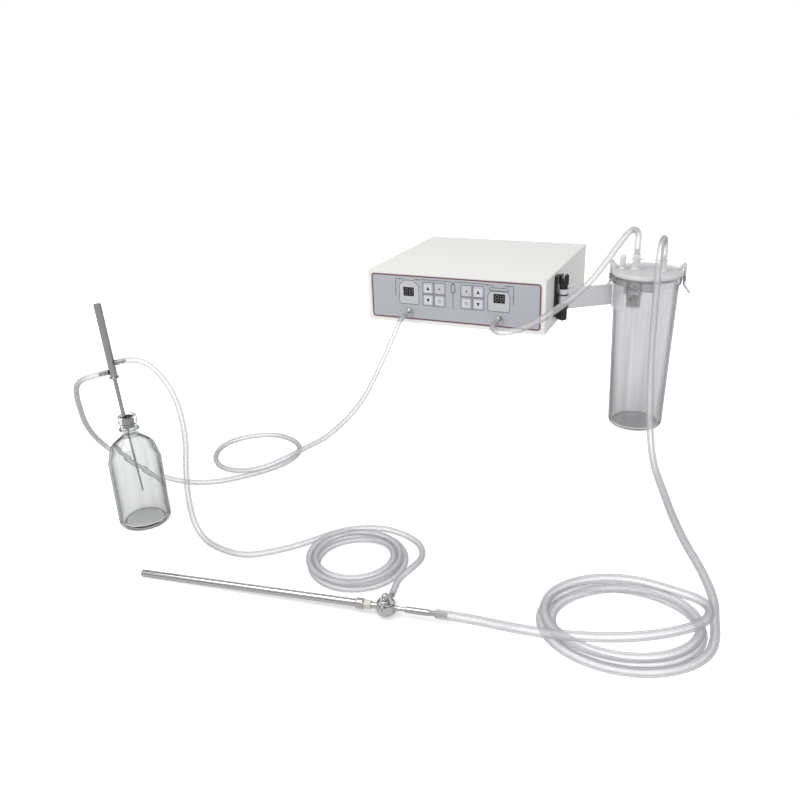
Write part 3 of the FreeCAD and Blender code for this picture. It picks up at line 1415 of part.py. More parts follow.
def valve_body():
    """Round valve body with a bored tap seat, front and rear stems and the inlet barb."""
    low, high = -valve_height / 2, valve_height / 2
    body = rod(valve_radius, (0, 0, low), (0, 0, high))
    body = rounded_top(body, low, 1.5)
    body = body.fuse(rod(stem_radius, (cannula_rear - 6, 0, 0), (-valve_radius + 1, 0, 0)))
    collar_end = sleeve_front() + sleeve_length
    body = body.fuse(rod(stem_radius + 1.4, (collar_end, 0, 0), (-valve_radius + 1, 0, 0)))
    body = body.fuse(rod(stem_radius, (valve_radius - 1, 0, 0), (grip_front, 0, 0)))
    angle = math.radians(inlet_barb_turn - handpiece_turn)
    direction = V(math.cos(angle), math.sin(angle), 0)
    barb = rod(inlet_barb_radius, direction * inlet_barb_start, direction * inlet_barb_end)
    barb = barb.fuse(rod(inlet_barb_radius + 1.2, direction * inlet_barb_start, direction * (valve_radius + 5)))
    body = body.fuse(barb)
    body = body.cut(rod(valve_bore_radius + valve_fit_gap, (0, 0, low + valve_floor), (0, 0, high + 1)))
    body = body.cut(rod(handpiece_bore, direction * 2, direction * (inlet_barb_end + 1)))
    return handpiece_place(body.cut(rod(handpiece_bore, (cannula_rear - 7, 0, 0), (grip_front + 1, 0, 0))))


def valve_tap():
    """Tap plug with its domed cap, ball and thumb lever."""
    low = -valve_height / 2 + valve_floor + 0.2
    high = valve_height / 2
    plug = rod(valve_bore_radius, (0, 0, low), (0, 0, high + dome_slit))
    plug = plug.cut(rod(handpiece_bore, (-valve_radius, 0, 0), (valve_radius, 0, 0)))
    dome_low = high + dome_slit
    cap = taper(dome_radius, dome_radius - 4.5, (0, 0, dome_low), (0, 0, dome_low + dome_height))
    ball = Part.makeSphere(ball_radius, V(0, 0, dome_low + dome_height + ball_radius - 1.6))
    lever = rod(lever_radius, (0, -dome_radius + 2.5, dome_low + lever_radius),
                (0, -dome_radius - lever_length + 8, dome_low + lever_radius))
    lever = lever.fuse(Part.makeSphere(lever_radius + 0.6, V(0, -dome_radius - lever_length + 8,
                                                            dome_low + lever_radius + 0.6)))
    return handpiece_place(plug.fuse([cap, ball, lever]))


def handle_grip():
    """Grip with a ridged barb for the suction hose."""
    grip = rod(grip_radius, (grip_front, 0, 0), (grip_rear, 0, 0))
    grip = grip.fuse(rod(grip_barb_radius - 0.6, (grip_rear, 0, 0), (grip_barb_end, 0, 0)))
    count = 4
    pitch = (grip_barb_end - grip_rear) / count
    for i in range(count):
        x = grip_rear + i * pitch
        grip = grip.fuse(taper(grip_barb_radius, grip_barb_radius - 0.6, (x + 0.5, 0, 0), (x + pitch, 0, 0)))
    return handpiece_place(grip.cut(rod(handpiece_bore, (grip_front - 1, 0, 0), (grip_barb_end + 1, 0, 0))))


def handpiece_point(x, y, z):
    turn = Rotation(Z_AXIS, handpiece_turn).multiply(Rotation(Y_AXIS, -handpiece_tilt))
    return V(valve_x0, valve_y0, valve_z0) + turn.multVec(V(x, y, z))


def port_socket(sign, radius):
    """Socket of a hose on one of the console's barbs."""
    tip = overlay_y - port_flange_thickness - port_neck_length - port_barb_length
    return ((sign * port_offset, tip - 0.5, port_z), (sign * port_offset, tip + port_barb_length, port_z), radius)


def lid_socket(index):
    x, y, _, rise = lid_port_places()[index]
    top = lid_top + rise
    return ((x, y, top), (x, y, top + lid_barb_length + 0.5), lid_barb_radius + 0.2)


def air_hose():
    return hose("air hose", air_hose_points, irrigation_hose_diameter,
                [port_socket(-1, air_barb_radius), spike_barbs()[1] + (spike_barb_radius,)])


def irrigation_hose():
    return hose("irrigation hose", irrigation_hose_points, irrigation_hose_diameter,
                [spike_barbs()[0] + (spike_barb_radius,)])


def irrigation_hose_coil():
    """Outer shape of the coil: a ring with one loose turn bulging out of it."""
    x, y = irrigation_coil_centre
    z1 = table_z + irrigation_coil_height
    dx, dy = irrigation_loop_offset
    coil = rod(irrigation_coil_outer, (x, y, table_z), (x, y, z1))
    coil = coil.fuse(rod(irrigation_loop_radius, (x + dx, y + dy, table_z), (x + dx, y + dy, z1)))
    coil = rounded_rim(coil.removeSplitter(), (table_z, z1), irrigation_hose_diameter / 3)
    return coil.cut(rod(irrigation_coil_inner, (x, y, table_z - 1), (x, y, z1 + 1)))


def rounded_rim(shape, heights, radius):
    """Round the level edges at the given heights."""
    edges = []
    for edge in shape.Edges:
        flat = max(v.Point.z for v in edge.Vertexes) - min(v.Point.z for v in edge.Vertexes) < 1e-6
        if flat and any(abs(edge.CenterOfMass.z - z) < 1e-3 for z in heights):
            edges.append(edge)
    return shape.makeFillet(radius, edges)


def irrigation_hose_tail():
    barb_angle = math.radians(inlet_barb_turn - handpiece_turn)
    start = handpiece_point(inlet_barb_start * math.cos(barb_angle), inlet_barb_start * math.sin(barb_angle), 0)
    end = handpiece_point(inlet_barb_end * math.cos(barb_angle), inlet_barb_end * math.sin(barb_angle), 0)
    return hose("irrigation tail", irrigation_tail_points, irrigation_hose_diameter,
                [(start, end, inlet_barb_radius)])


def vacuum_hose():
    return hose("vacuum hose", vacuum_hose_points, suction_hose_diameter,
                [port_socket(1, suction_barb_radius), lid_socket(0)])


def suction_hose_drop():
    return hose("suction drop", suction_hose_points, suction_hose_diameter, [lid_socket(1)])


def ellipse_plate(half_axes, low, high):
    """Upright plate with an elliptical outline, centred on the suction coil."""
    ellipse = Part.Ellipse(V(0, 0, 0), half_axes[0], half_axes[1])
    plate = Part.Face(Part.Wire(ellipse.toShape())).extrude(V(0, 0, high - low))
    plate.Placement = Placement(V(suction_coil_centre[0], suction_coil_centre[1], low),
                                Rotation(Z_AXIS, suction_coil_turn))
    return plate


def suction_hose_coil():
    """Outer shape of the oval coil."""
    z1 = table_z + suction_coil_height
    return ellipse_plate(suction_coil_outer, table_z, z1).cut(
        ellipse_plate(suction_coil_inner, table_z - 1, z1 + 1))


def suction_hose_tail():
    start = handpiece_point(grip_rear, 0, 0)
    end = handpiece_point(grip_barb_end + 0.5, 0, 0)
    return hose("suction tail", suction_tail_points, suction_hose_diameter, [(start, end, grip_barb_radius)])


def all_pieces():
    """Every piece by its node's name."""
    pieces = {
        "casing_cover": casing_cover(),
        "base_pan": base_pan(),
        "front_panel": front_panel(),
        "front_overlay": front_overlay(),
        "rear_panel": rear_panel(),
        "rubber_feet": rubber_feet(),
        "case_screws": case_screws(),
        "displays": displays(),
        "mains_inlet": mains_inlet(),
        "power_switch_rocker": power_switch_rocker(),
        "cooling_fan_frame": cooling_fan_frame(),
        "cooling_fan_rotor": cooling_fan_rotor(),
        "vacuum_pump_body": pump_body(pump_x, motor_length),
        "vacuum_pump_shaft": pump_shaft(pump_x, motor_length),
        "air_pump_body": pump_body(-pump_x, air_motor_length),
        "air_pump_shaft": pump_shaft(-pump_x, air_motor_length),
        "power_supply": power_supply(),
        "control_board": control_board(),
        "solenoid_valves": solenoid_valves(),
        "internal_tubing": internal_tubing(),
        "console_ports": console_ports(),
        "side_rail": side_rail(),
        "hinge_bracket": hinge_bracket(),
        "hinge_pin": hinge_pin(),
        "clamp_knob": clamp_knob(),
        "canister_arm": canister_arm(),
        "canister_ring": canister_ring(),
        "canister_jar": canister_jar(),
        "canister_lid": canister_lid(),
        "lid_seal": lid_seal(),
        "lid_clip_left": lid_clip(left_clip_direction),
        "lid_clip_right": lid_clip(right_clip_direction),
        "lid_ports": lid_ports(),
        "float_cage": float_cage(),
        "float_ball": float_ball(),
        "saline_bottle": saline_bottle(),
        "bottle_stopper": bottle_stopper(),
        "spike_outer_tube": spike_outer_tube(),
        "spike_inner_tube": spike_inner_tube(),
        "cannula_tube": cannula_tube(),
        "cannula_lock_nut": cannula_lock_nut(),
        "seal_sleeve": seal_sleeve(),
        "valve_body": valve_body(),
        "valve_tap": valve_tap(),
        "handle_grip": handle_grip(),
        "air_hose": air_hose(),
        "irrigation_hose": irrigation_hose(),
        "irrigation_hose_coil": irrigation_hose_coil(),
        "irrigation_hose_tail": irrigation_hose_tail(),
        "vacuum_hose": vacuum_hose(),
        "suction_hose_drop": suction_hose_drop(),
        "suction_hose_coil": suction_hose_coil(),
        "suction_hose_tail": suction_hose_tail(),
    }
    for name, x, z in key_places():
        pieces[name] = key(x, z)
    return pieces


os.makedirs("parts", exist_ok=True)
for node, piece in all_pieces().items():
    if not piece.isValid() or not piece.Solids:
        print("invalid:", node)
    piece.exportStep("parts/%s.step" % node)
print("pieces written")
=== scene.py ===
"""Suction and irrigation pump with its jar, saline bottle, handpiece and hoses."""

import json
import math

import bpy
import numpy as np
from bpy.props import FloatProperty, FloatVectorProperty, IntProperty, PointerProperty
from mathutils import Matrix, Vector

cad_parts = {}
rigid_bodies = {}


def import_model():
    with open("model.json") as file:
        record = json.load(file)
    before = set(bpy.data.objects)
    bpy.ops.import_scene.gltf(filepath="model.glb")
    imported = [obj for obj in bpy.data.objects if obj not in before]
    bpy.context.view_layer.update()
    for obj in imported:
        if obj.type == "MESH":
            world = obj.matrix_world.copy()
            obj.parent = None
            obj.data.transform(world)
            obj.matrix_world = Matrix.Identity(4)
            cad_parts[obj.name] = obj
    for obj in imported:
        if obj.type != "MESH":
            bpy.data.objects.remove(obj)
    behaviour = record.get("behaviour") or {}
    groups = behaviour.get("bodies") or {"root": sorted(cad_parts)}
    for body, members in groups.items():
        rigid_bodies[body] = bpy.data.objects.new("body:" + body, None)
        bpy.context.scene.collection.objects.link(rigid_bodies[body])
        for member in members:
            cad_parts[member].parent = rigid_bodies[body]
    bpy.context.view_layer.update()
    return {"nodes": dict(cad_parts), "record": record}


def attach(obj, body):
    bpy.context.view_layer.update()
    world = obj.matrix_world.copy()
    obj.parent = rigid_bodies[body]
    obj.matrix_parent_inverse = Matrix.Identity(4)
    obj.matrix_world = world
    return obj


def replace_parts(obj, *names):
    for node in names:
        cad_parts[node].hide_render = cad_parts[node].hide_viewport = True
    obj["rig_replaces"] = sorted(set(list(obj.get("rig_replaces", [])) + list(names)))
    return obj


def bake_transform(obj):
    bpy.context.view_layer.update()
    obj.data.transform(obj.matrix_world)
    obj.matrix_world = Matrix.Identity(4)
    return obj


bl_info = {
    "name": "Suction Pump Set",
    "version": (1, 0, 0),
    "blender": (4, 5, 0),
    "location": "View3D > Sidebar > Pump",
    "description": "Shells, glass, hoses, print and stage of a suction and irrigation pump",
    "category": "Add Mesh",
}

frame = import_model()

MM = 0.001
TABLE_Z = -200.0
CONTROLS_PER_TURN = 18
NURBS_SHRINK = math.cos(math.pi / CONTROLS_PER_TURN) ** 0.9
PANEL_FACE_Y, KEY_FACE_Y, DISPLAY_FACE_Y = -165.4, -166.4, -165.2
PRINT_DEPTH = 0.08
PORT_X, PORT_Z = 89.5, 27.5
DISPLAY_Z = 67.5
LIGHT_X, LIGHT_Z = 27.0, 76.5
JAR_AXIS = (327.0, -32.0)
CLIP_DIRECTIONS = (172.0, 18.0)
VACUUM_PORT, PATIENT_PORT, SPARE_PORT = (306.5, -31.0), (354.0, -33.0), (282.5, -32.0)
BOTTLE_AXIS = (-342.4, -670.3)
VALVE_CENTRE = (123.8, -746.5, -188.0)
HANDPIECE_TURN = math.radians(7.8)
HANDPIECE_TILT = math.radians(1.1)
CAMERA_PLACE = (0.5036, -1.4899, 0.4493)
CAMERA_YAW, CAMERA_PITCH, CAMERA_ROLL = (math.radians(v) for v in (25.096, 22.604, -2.2655))


# ---- surfaces


def around(count):
    """Evenly spread angles of one full turn."""
    return np.linspace(0, 2 * math.pi, count, endpoint=False)


def unit(vectors):
    return vectors / np.linalg.norm(vectors, axis=-1, keepdims=True)


def spaced(points, least):
    """Points without those that are nearer than a distance to the one before."""
    apart = np.linalg.norm(np.diff(points, axis=0), axis=1) > least
    return points[np.concatenate([[True], apart])]


def fan(tip, count, start=0, upward=True):
    """Triangles from a tip to a ring of points that is counterclockwise seen from above."""
    j = np.arange(count)
    ends = [start + j, start + (j + 1) % count]
    return np.stack([np.full(count, tip)] + (ends if upward else ends[::-1]), axis=-1)


def ring_faces(rows, columns, wrap_rows=False, wrap_columns=True):
    """Quads between the points of a grid that is numbered row by row."""
    i = np.arange(rows if wrap_rows else rows - 1)[:, None]
    j = np.arange(columns if wrap_columns else columns - 1)[None, :]
    here, there = i * columns, (i + 1) % rows * columns
    beside = (j + 1) % columns
    return np.stack([here + j, here + beside, there + beside, there + j], axis=-1).reshape(-1, 4)


def joined(*shapes):
    """One shape of several, each a pair of places and a list of face arrays."""
    places, faces, start = [], [], 0
    for points, sets in shapes:
        places.append(points)
        faces += [face + start for face in sets]
        start += len(points)
    return np.concatenate(places), faces


def placed(shape, centre=(0, 0, 0), axes=None):
    """Shape turned so that its own axes are the rows of axes, then moved to centre."""
    points, sets = shape
    if axes is not None:
        points = points @ np.asarray(axes, float)
    return points + np.asarray(centre, float), sets


def soften(corners, radii, steps=4):
    """Outline whose corners are arcs with a support point outside each end.

    An arc of radius r in a corner of half-angle a touches both edges r / tan(a) from the corner.
    """
    corner = np.asarray(corners, float)
    radii = np.broadcast_to(np.asarray(radii, float), len(corner))[:, None]
    before, after = np.roll(corner, 1, 0) - corner, np.roll(corner, -1, 0) - corner
    room = 0.46 * np.minimum(*(np.linalg.norm(edge, axis=1, keepdims=True) for edge in (before, after)))
    u, v = unit(before), unit(after)
    half = 0.5 * np.arccos(np.clip((u * v).sum(1, keepdims=True), -0.99999, 0.99999))
    reach = np.minimum(radii / np.tan(half), room)
    radius = reach * np.tan(half)
    centre = corner + unit(u + v) * radius / np.sin(half)
    sweep = math.pi - 2 * half
    t = np.linspace(0, 1, steps + 1)[None, :, None]
    first, last = corner + u * reach - centre, corner + v * reach - centre
    arc = first[:, None] * np.sin((1 - t) * sweep[:, None]) + last[:, None] * np.sin(t * sweep[:, None])
    arc = centre[:, None] + arc / np.sin(sweep[:, None])
    support = np.where(reach > 0, np.minimum(0.25, 0.2 * (room - 0.8 * reach)), 0)
    lead = (corner + u * (reach + support))[:, None]
    trail = (corner + v * (reach + support))[:, None]
    return spaced(np.concatenate([lead, arc, trail], axis=1).reshape(-1, corner.shape[1]), 1e-5)


def turned(outline, x=0.0, y=0.0, share=1):
    """Surface of an outline (radius, height) turned about the upright line through x, y.

    An outline from the axis to the axis gets two poles, and any other one is joined end to end.
    It has a share of the faces in the settings.
    """
    outline = np.asarray(outline, float)
    sides = int(bpy.context.scene.pump_sizes.sides * share)
    angle = around(sides)
    poles = outline[0, 0] < 1e-6 and outline[-1, 0] < 1e-6
    rings = outline[1:-1] if poles else outline
    radius, height = rings[:, :1], rings[:, 1:]
    points = np.stack([x + radius * np.cos(angle), y + radius * np.sin(angle), height + 0 * angle], axis=-1)
    points = points.reshape(-1, 3)
    faces = [ring_faces(len(rings), sides, wrap_rows=not poles)]
    if poles:
        count = len(points)
        faces += [fan(count, sides, upward=False), fan(count + 1, sides, count - sides)]
        points = np.concatenate([points, [[x, y, outline[0, 1]], [x, y, outline[-1, 1]]]])
    return points, faces


def spun(outline, radii, x=0.0, y=0.0, share=1, steps=4):
    """Turned surface of an outline with softened corners."""
    return turned(soften(outline, radii, steps), x, y, share)


def hollow_tube(path, outer, inner, sides=24):
    """Tube along a path, whose circles are turned the least from one to the next: its wall and its bore."""
    path = np.asarray(path, float)
    tangent = unit(np.gradient(path, axis=0))
    seed = np.eye(3)[np.abs(tangent[0]).argmin()]
    normal = np.empty_like(path)
    for station, forward in enumerate(tangent):
        seed = unit(seed - forward * (seed @ forward))
        normal[station] = seed
    angle = around(sides)[:, None]
    spokes = normal[:, None] * np.cos(angle) + np.cross(tangent, normal)[:, None] * np.sin(angle)
    outside, inside = (path[:, None] + np.broadcast_to(radii, len(path))[:, None, None] * spokes
                       for radii in (outer, inner))
    points = np.concatenate([outside, inside[::-1]]).reshape(-1, 3)
    return points, [ring_faces(2 * len(path), sides, wrap_rows=True)]


def slab(outline, thickness, origin, u, v):
    """Prism of an outline in the directions u and v, half of its thickness to each side of origin."""
    outline, u, v = (np.asarray(values, float) for values in (outline, u, v))
    half = np.cross(u, v) * thickness / 2
    count = len(outline)
    face = np.asarray(origin, float) + outline[:, :1] * u + outline[:, 1:] * v
    middle = face.mean(0)
    points = np.concatenate([face - half, face + half, [middle - half, middle + half]])
    fans = [fan(2 * count, count, upward=False), fan(2 * count + 1, count, count)]
    return points, [ring_faces(2, count)] + fans


def plate(outline, y, depth):
    """Upright slab in front of the panel: an outline (x, z), counterclockwise seen from the front."""
    return slab(outline, depth, (0, y - depth / 2, 0), (1, 0, 0), (0, 0, 1))


def upright(rows, axis=0):
    """Points of outlines (x, z), each in the upright plane at its own y."""
    return np.stack([np.column_stack([p[:, 0], np.full(len(p), y), p[:, 1]]) for p, y in rows], axis=axis)


def band(outline, y, depth, width, closed=True):
    """Raised line of one width along an outline (x, z), offset half of the width to each side."""
    outline = np.asarray(outline, float)
    before, after = np.roll(outline, 1, 0), np.roll(outline, -1, 0)
    if not closed:
        before[0], after[-1] = 2 * outline[0] - outline[1], 2 * outline[-1] - outline[-2]
    u, v = unit(outline - before), unit(after - outline)
    across = unit((u + v)[:, ::-1] * (-1, 1))
    stretch = 1 / np.maximum(0.5, np.abs((across * u[:, ::-1] * (-1, 1)).sum(1, keepdims=True)))
    shift = across * stretch * width / 2
    left, right = outline + shift, outline - shift
    points = upright([(left, y), (right, y), (right, y - depth), (left, y - depth)], axis=1)
    count = len(outline)
    sets = [ring_faces(count, 4, wrap_rows=closed)]
    if not closed:
        sets.append(np.array([[3, 2, 1, 0], 4 * count - 4 + np.arange(4)]))
    return points.reshape(-1, 3), sets


def added(name, data):
    """New object of its data in the scene."""
    made = bpy.data.objects.new(name, data)
    bpy.context.scene.collection.objects.link(made)
    return made


def make_piece(name, shape, look, replaces=(), body="console", smooth=35.0):
    """Object of a shape in millimetres, smooth but at edges sharper than an angle, that rides on a body."""
    points, sets = shape
    mesh = bpy.data.meshes.new(name)
    faces = [face for quads in sets for face in quads.tolist()]
    mesh.from_pydata((np.asarray(points) * MM).tolist(), [], faces, shade_flat=False)
    mesh.set_sharp_from_angle(angle=math.radians(smooth))
    mesh.materials.append(finish_of(look))
    made = added(name, mesh)
    if body:
        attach(made, body)
    if replaces:
        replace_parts(made, *replaces)
    return made


def route(points):
    """Points, in millimetres, of the smooth line of a NURBS spline with these control points."""
    points = np.asarray(points, float)
    curve = bpy.data.curves.new("route", "CURVE")
    curve.dimensions = "3D"
    spline = curve.splines.new("NURBS")
    spline.points.add(len(points) - 1)
    spline.points.foreach_set("co", np.column_stack([points * MM, np.ones(len(points))]).ravel())
    spline.order_u = 3
    spline.use_endpoint_u = True
    spline.resolution_u = 8
    holder = bpy.data.objects.new("route", curve)
    line = bpy.data.meshes.new_from_object(holder)
    stations = np.empty(len(line.vertices) * 3)
    line.vertices.foreach_get("co", stations)
    bpy.data.objects.remove(holder)
    bpy.data.curves.remove(curve)
    bpy.data.meshes.remove(line)
    return spaced(stations.reshape(-1, 3) / MM, 1e-3)


def smoothstep(x):
    x = np.clip(x, 0, 1)
    return x * x * (3 - 2 * x)


# ---- finishes


def wire(tree, node, inputs):
    """Give each input of a node its value, or link it to a socket."""
    for name, value in inputs.items():
        if isinstance(value, bpy.types.NodeSocket):
            tree.links.new(value, node.inputs[name])
        else:
            node.inputs[name].default_value = value


def add_node(tree, kind, inputs=None, **values):
    """Shader node of a kind, with values set and inputs wired."""
    made = tree.nodes.new("ShaderNode" + kind)
    for name, value in values.items():
        setattr(made, name, value)
    wire(tree, made, inputs or {})
    return made


def maths(tree, operation, first, second):
    return add_node(tree, "Math", {0: first, 1: second}, operation=operation).outputs[0]


def mixed(tree, factor, low, high, **values):
    """Colour between two colours, each a value or a socket."""
    inputs = {"Factor": factor, 6: low, 7: high}
    return add_node(tree, "Mix", inputs, data_type="RGBA", **values).outputs[2]


def mixed_shader(tree, factor, first, second):
    return add_node(tree, "MixShader", {0: factor, 1: first, 2: second}).outputs[0]


def ranged(tree, value, to_min, to_max, from_min=0.0, from_max=1.0, **values):
    """Value carried from one range to another."""
    inputs = {"Value": value, "From Min": from_min, "From Max": from_max, "To Min": to_min, "To Max": to_max}
    return add_node(tree, "MapRange", inputs, **values).outputs["Result"]


def object_place(tree):
    return add_node(tree, "TexCoord").outputs["Object"]


def mapped(tree, **values):
    """Object place with a Scale or Location."""
    return add_node(tree, "Mapping", {"Vector": object_place(tree), **values}).outputs["Vector"]


def noise(tree, place, scale, detail=2.0):
    inputs = {"Vector": place, "Scale": scale, "Detail": detail}
    return add_node(tree, "TexNoise", inputs).outputs["Fac"]


def slant(tree):
    """0 where a surface is seen square on, 1 at its outline."""
    return add_node(tree, "LayerWeight", {"Blend": 0.5}).outputs["Facing"]


def linear(*values):
    """Linear colour of three numbers of a display colour from 0 to 255."""
    share = np.asarray(values, float) / 255
    return tuple(np.where(share <= 0.04045, share / 12.92, ((share + 0.055) / 1.055) ** 2.4))


def colour(shade, tone=1.0):
    """Socket value of a colour setting's name or a display colour, times a tone."""
    base = getattr(bpy.context.scene.pump_colours, shade) if isinstance(shade, str) else linear(*shade)
    return (*(float(v) * tone for v in base), 1.0)


def principled(name):
    """New material, its tree and its main shader."""
    material = bpy.data.materials.new(name)
    material.use_nodes = True
    tree = material.node_tree
    return material, tree, tree.nodes["Principled BSDF"]


def finish(name, base, rough, tone, spots, grain, grain_height, stretch=(1, 1, 1), metal=0.0, shine=0.5):
    """Colour = base x mix(1, tone, noise); roughness = rough +- a sixth by that noise; bump = fine noise."""
    material, tree, shader = principled(name)
    place = mapped(tree, Scale=stretch)
    drift = noise(tree, place, spots, 3.0)
    bump = add_node(tree, "Bump", {"Height": noise(tree, place, grain), "Strength": 0.6,
                                   "Distance": grain_height})
    wire(tree, shader, {"Base Color": mixed(tree, drift, colour(base), colour(base, tone)),
                        "Roughness": ranged(tree, drift, rough * 0.84, min(1.0, rough * 1.16)),
                        "Normal": bump.outputs["Normal"], "Metallic": metal, "Specular IOR Level": shine})
    return material


def clear(name, face, edge, rough, outline_shade_start, shade, streaks):
    """Clear material whose colour = mix(face, painted edge shade, smoothed slant), with streaks along its
    height.

    A shadow ray passes through a tinted hole, so that lamps shine in.
    """
    material, tree, shader = principled(name)
    # Painted shade: the colour turns to the edge colour where the surface is seen at a slant.
    painted_edge_shade = ranged(tree, slant(tree), 0.0, 1.0, outline_shade_start, 0.8, interpolation_type="SMOOTHSTEP")
    streak = noise(tree, mapped(tree, Scale=(90.0, 90.0, 1.5)), 1.0)
    dim = ranged(tree, streak, 1.0, 1.0 - streaks, 0.3, 0.7)
    tint = mixed(tree, 1.0, mixed(tree, painted_edge_shade, colour(face), colour(edge)), dim, blend_type="MULTIPLY")
    wire(tree, shader, {"Base Color": tint, "Roughness": rough, "IOR": 1.3, "Transmission Weight": 1.0})
    hole = add_node(tree, "BsdfTransparent", {"Color": (1 - shade, 1 - shade, 1 - shade, 1)})
    ray = add_node(tree, "LightPath").outputs["Is Shadow Ray"]
    tree.links.new(mixed_shader(tree, ray, shader.outputs[0], hole.outputs[0]),
                   tree.nodes["Material Output"].inputs["Surface"])
    return material


def soft_clear(name, base, edge, low, high, rough=0.16, power=2.2):
    """Milky wall: opacity = mix(low, high, slant to a power); colour = mix(base, painted edge shade, slant).
    """
    material, tree, shader = principled(name)
    steep = maths(tree, "POWER", slant(tree), power)
    # Painted shade: the colour turns to the edge colour at the outline.
    painted_rim_shade = maths(tree, "POWER", steep, 1.1)
    wander = ranged(tree, noise(tree, object_place(tree), 30.0), low * 0.8, low * 1.2)
    opacity = add_node(tree, "Mix", {"Factor": steep, "A": wander, "B": high})
    wire(tree, shader, {"Base Color": mixed(tree, painted_rim_shade, colour(base), colour(edge)),
                        "Alpha": opacity.outputs["Result"], "Roughness": rough})
    return material


def steel(name, base, rough, grain=(1.0, 1.0, 1.0), depth=1e-5):
    """Polished or brushed steel: full metal, with fine drawn lines."""
    return finish(name, base, rough, 0.9, 60.0, 900.0, depth, grain, metal=1.0)


def rubber_with_painted_shade_top(name, low, top, start, end):
    """Rubber that turns from its low colour to its top colour, painted shade, between two heights, in metres.
    """
    material = finish(name, low, 0.6, 0.9, 50, 900, 5e-5)
    tree = material.node_tree
    base = tree.nodes["Principled BSDF"].inputs["Base Color"]
    height = add_node(tree, "SeparateXYZ", {"Vector": object_place(tree)}).outputs["Z"]
    share = ranged(tree, height, 0.0, 1.0, start, end)
    tree.links.new(mixed(tree, share, base.links[0].from_socket, colour(top)), base)
    return material


# Each look: its maker, the material's name, one or two colours (a setting or a display colour) and numbers.
LOOKS = {
    "white_paint": (finish, "White powder coat", "cover", 0.42, 0.97, 12, 520, 6e-5),
    "panel_white": (finish, "White panel edge", "cover", 0.5, 0.97, 12, 520, 4e-5),
    "panel_grey": (finish, "Grey membrane", "membrane", 0.46, 0.97, 25, 1200, 2e-5),
    "keypad": (finish, "Keypad lilac", "keypad", 0.4, 0.97, 30, 1200, 2e-5),
    "key_white": (finish, "Key cap", "key", 0.38, 0.97, 60, 1200, 2e-5),
    "red_line": (finish, "Red print", "frame_line", 0.45, 0.92, 60, 900, 1e-5),
    "grey_line": (finish, "Grey print", "pipe_line", 0.5, 0.94, 60, 900, 1e-5),
    "pale_print": (finish, "Pale print", "pale_print", 0.5, 0.97, 60, 900, 1e-5),
    "black_print": (finish, "Black print", (22, 20, 26), 0.5, 0.9, 60, 900, 1e-5),
    "digits": (finish, "Unlit digit segments", (122, 117, 119), 0.35, 0.92, 60, 900, 1e-5),
    "display_black": (finish, "Display window", (18, 17, 19), 0.22, 0.8, 30, 1200, 5e-6, (1, 1, 1), 0, 0.25),
    "black_plastic": (finish, "Black plastic", (26, 26, 28), 0.34, 0.8, 50, 900, 3e-5),
    "rubber_black": (finish, "Black rubber", (34, 34, 34), 0.75, 0.85, 50, 900, 6e-5),
    "steel": (steel, "Polished steel", (196, 196, 198), 0.17),
    "bright_steel": (steel, "Bright steel", (205, 204, 204), 0.1),
    "drawn_steel": (steel, "Drawn steel", (166, 166, 168), 0.2, (1.0, 1.0, 0.08), 3e-5),
    "screw_steel": (steel, "Screw steel", (190, 190, 192), 0.25),
    "shaft_steel": (steel, "Shaft steel", (185, 185, 188), 0.3),
    "motor_steel": (steel, "Motor can steel", (165, 165, 168), 0.38),
    "board_green": (finish, "Circuit board", (28, 92, 62), 0.4, 0.8, 90, 900, 3e-5),
    "valve_blue": (finish, "Valve block", (52, 84, 150), 0.4, 0.88, 60, 900, 3e-5),
    # Painted shade: the second colour of each clear and milky look below darkens its outline.
    "inner_tube": (soft_clear, "Inner tubing", (222, 222, 218), (170, 170, 168), 0.4, 0.9),
    "arm_white": (finish, "White moulded arm", "arm", 0.5, 0.97, 30, 900, 5e-5),
    "ring_clear": (soft_clear, "Clear holder", (236, 237, 238), (184, 186, 190), 0.3, 0.85),
    "clear_plastic": (clear, "Clear jar wall", "jar_face", "jar_edge", 0.06, 0.35, 0.18, 0.16),
    "lid_plastic": (soft_clear, "Frosted lid", (250, 250, 250), (206, 207, 210), 0.72, 0.95, 0.3),
    "cage_plastic": (soft_clear, "Frosted cage", (240, 241, 242), (176, 178, 182), 0.22, 0.8),
    "float_white": (finish, "Float ball", (226, 226, 224), 0.3, 0.95, 60, 900, 2e-5),
    "seal_rubber": (finish, "Lid seal", (196, 198, 200), 0.5, 0.93, 50, 900, 4e-5),
    "bottle_glass": (clear, "Bottle glass", "glass_face", "glass_edge", 0.02, 0.3, 0.25, 0.08),
    # Painted shade: the stopper's dark top colour stands in for its shaded opening.
    "stopper_rubber": (rubber_with_painted_shade_top, "Grey stopper", (176, 177, 180), (28, 28, 30), -0.0208, -0.0192),
    "sleeve_cream": (finish, "Cream sleeve", (216, 215, 198), 0.35, 0.94, 90, 900, 2e-5),
    "clear_hose": (soft_clear, "Clear hose", "hose_face", "hose_edge", 0.17, 0.92, 0.12, 1.05),
}
MATERIALS = {}


def finish_of(look):
    """The material of a look, made once."""
    if look not in MATERIALS:
        maker, *values = LOOKS[look]
        MATERIALS[look] = maker(*values)
    return MATERIALS[look]


# ---- settings


def shade(label, about, *display):
    return FloatVectorProperty(name=label, description=about, subtype="COLOR", size=3, min=0.0, max=1.0,
                               default=linear(*display))


def length(label, about, default, low, high):
    """Length setting whose numbers are given in millimetres."""
    return FloatProperty(name=label, description=about, default=default * MM, min=low * MM, max=high * MM,
                         subtype="DISTANCE", unit="LENGTH")


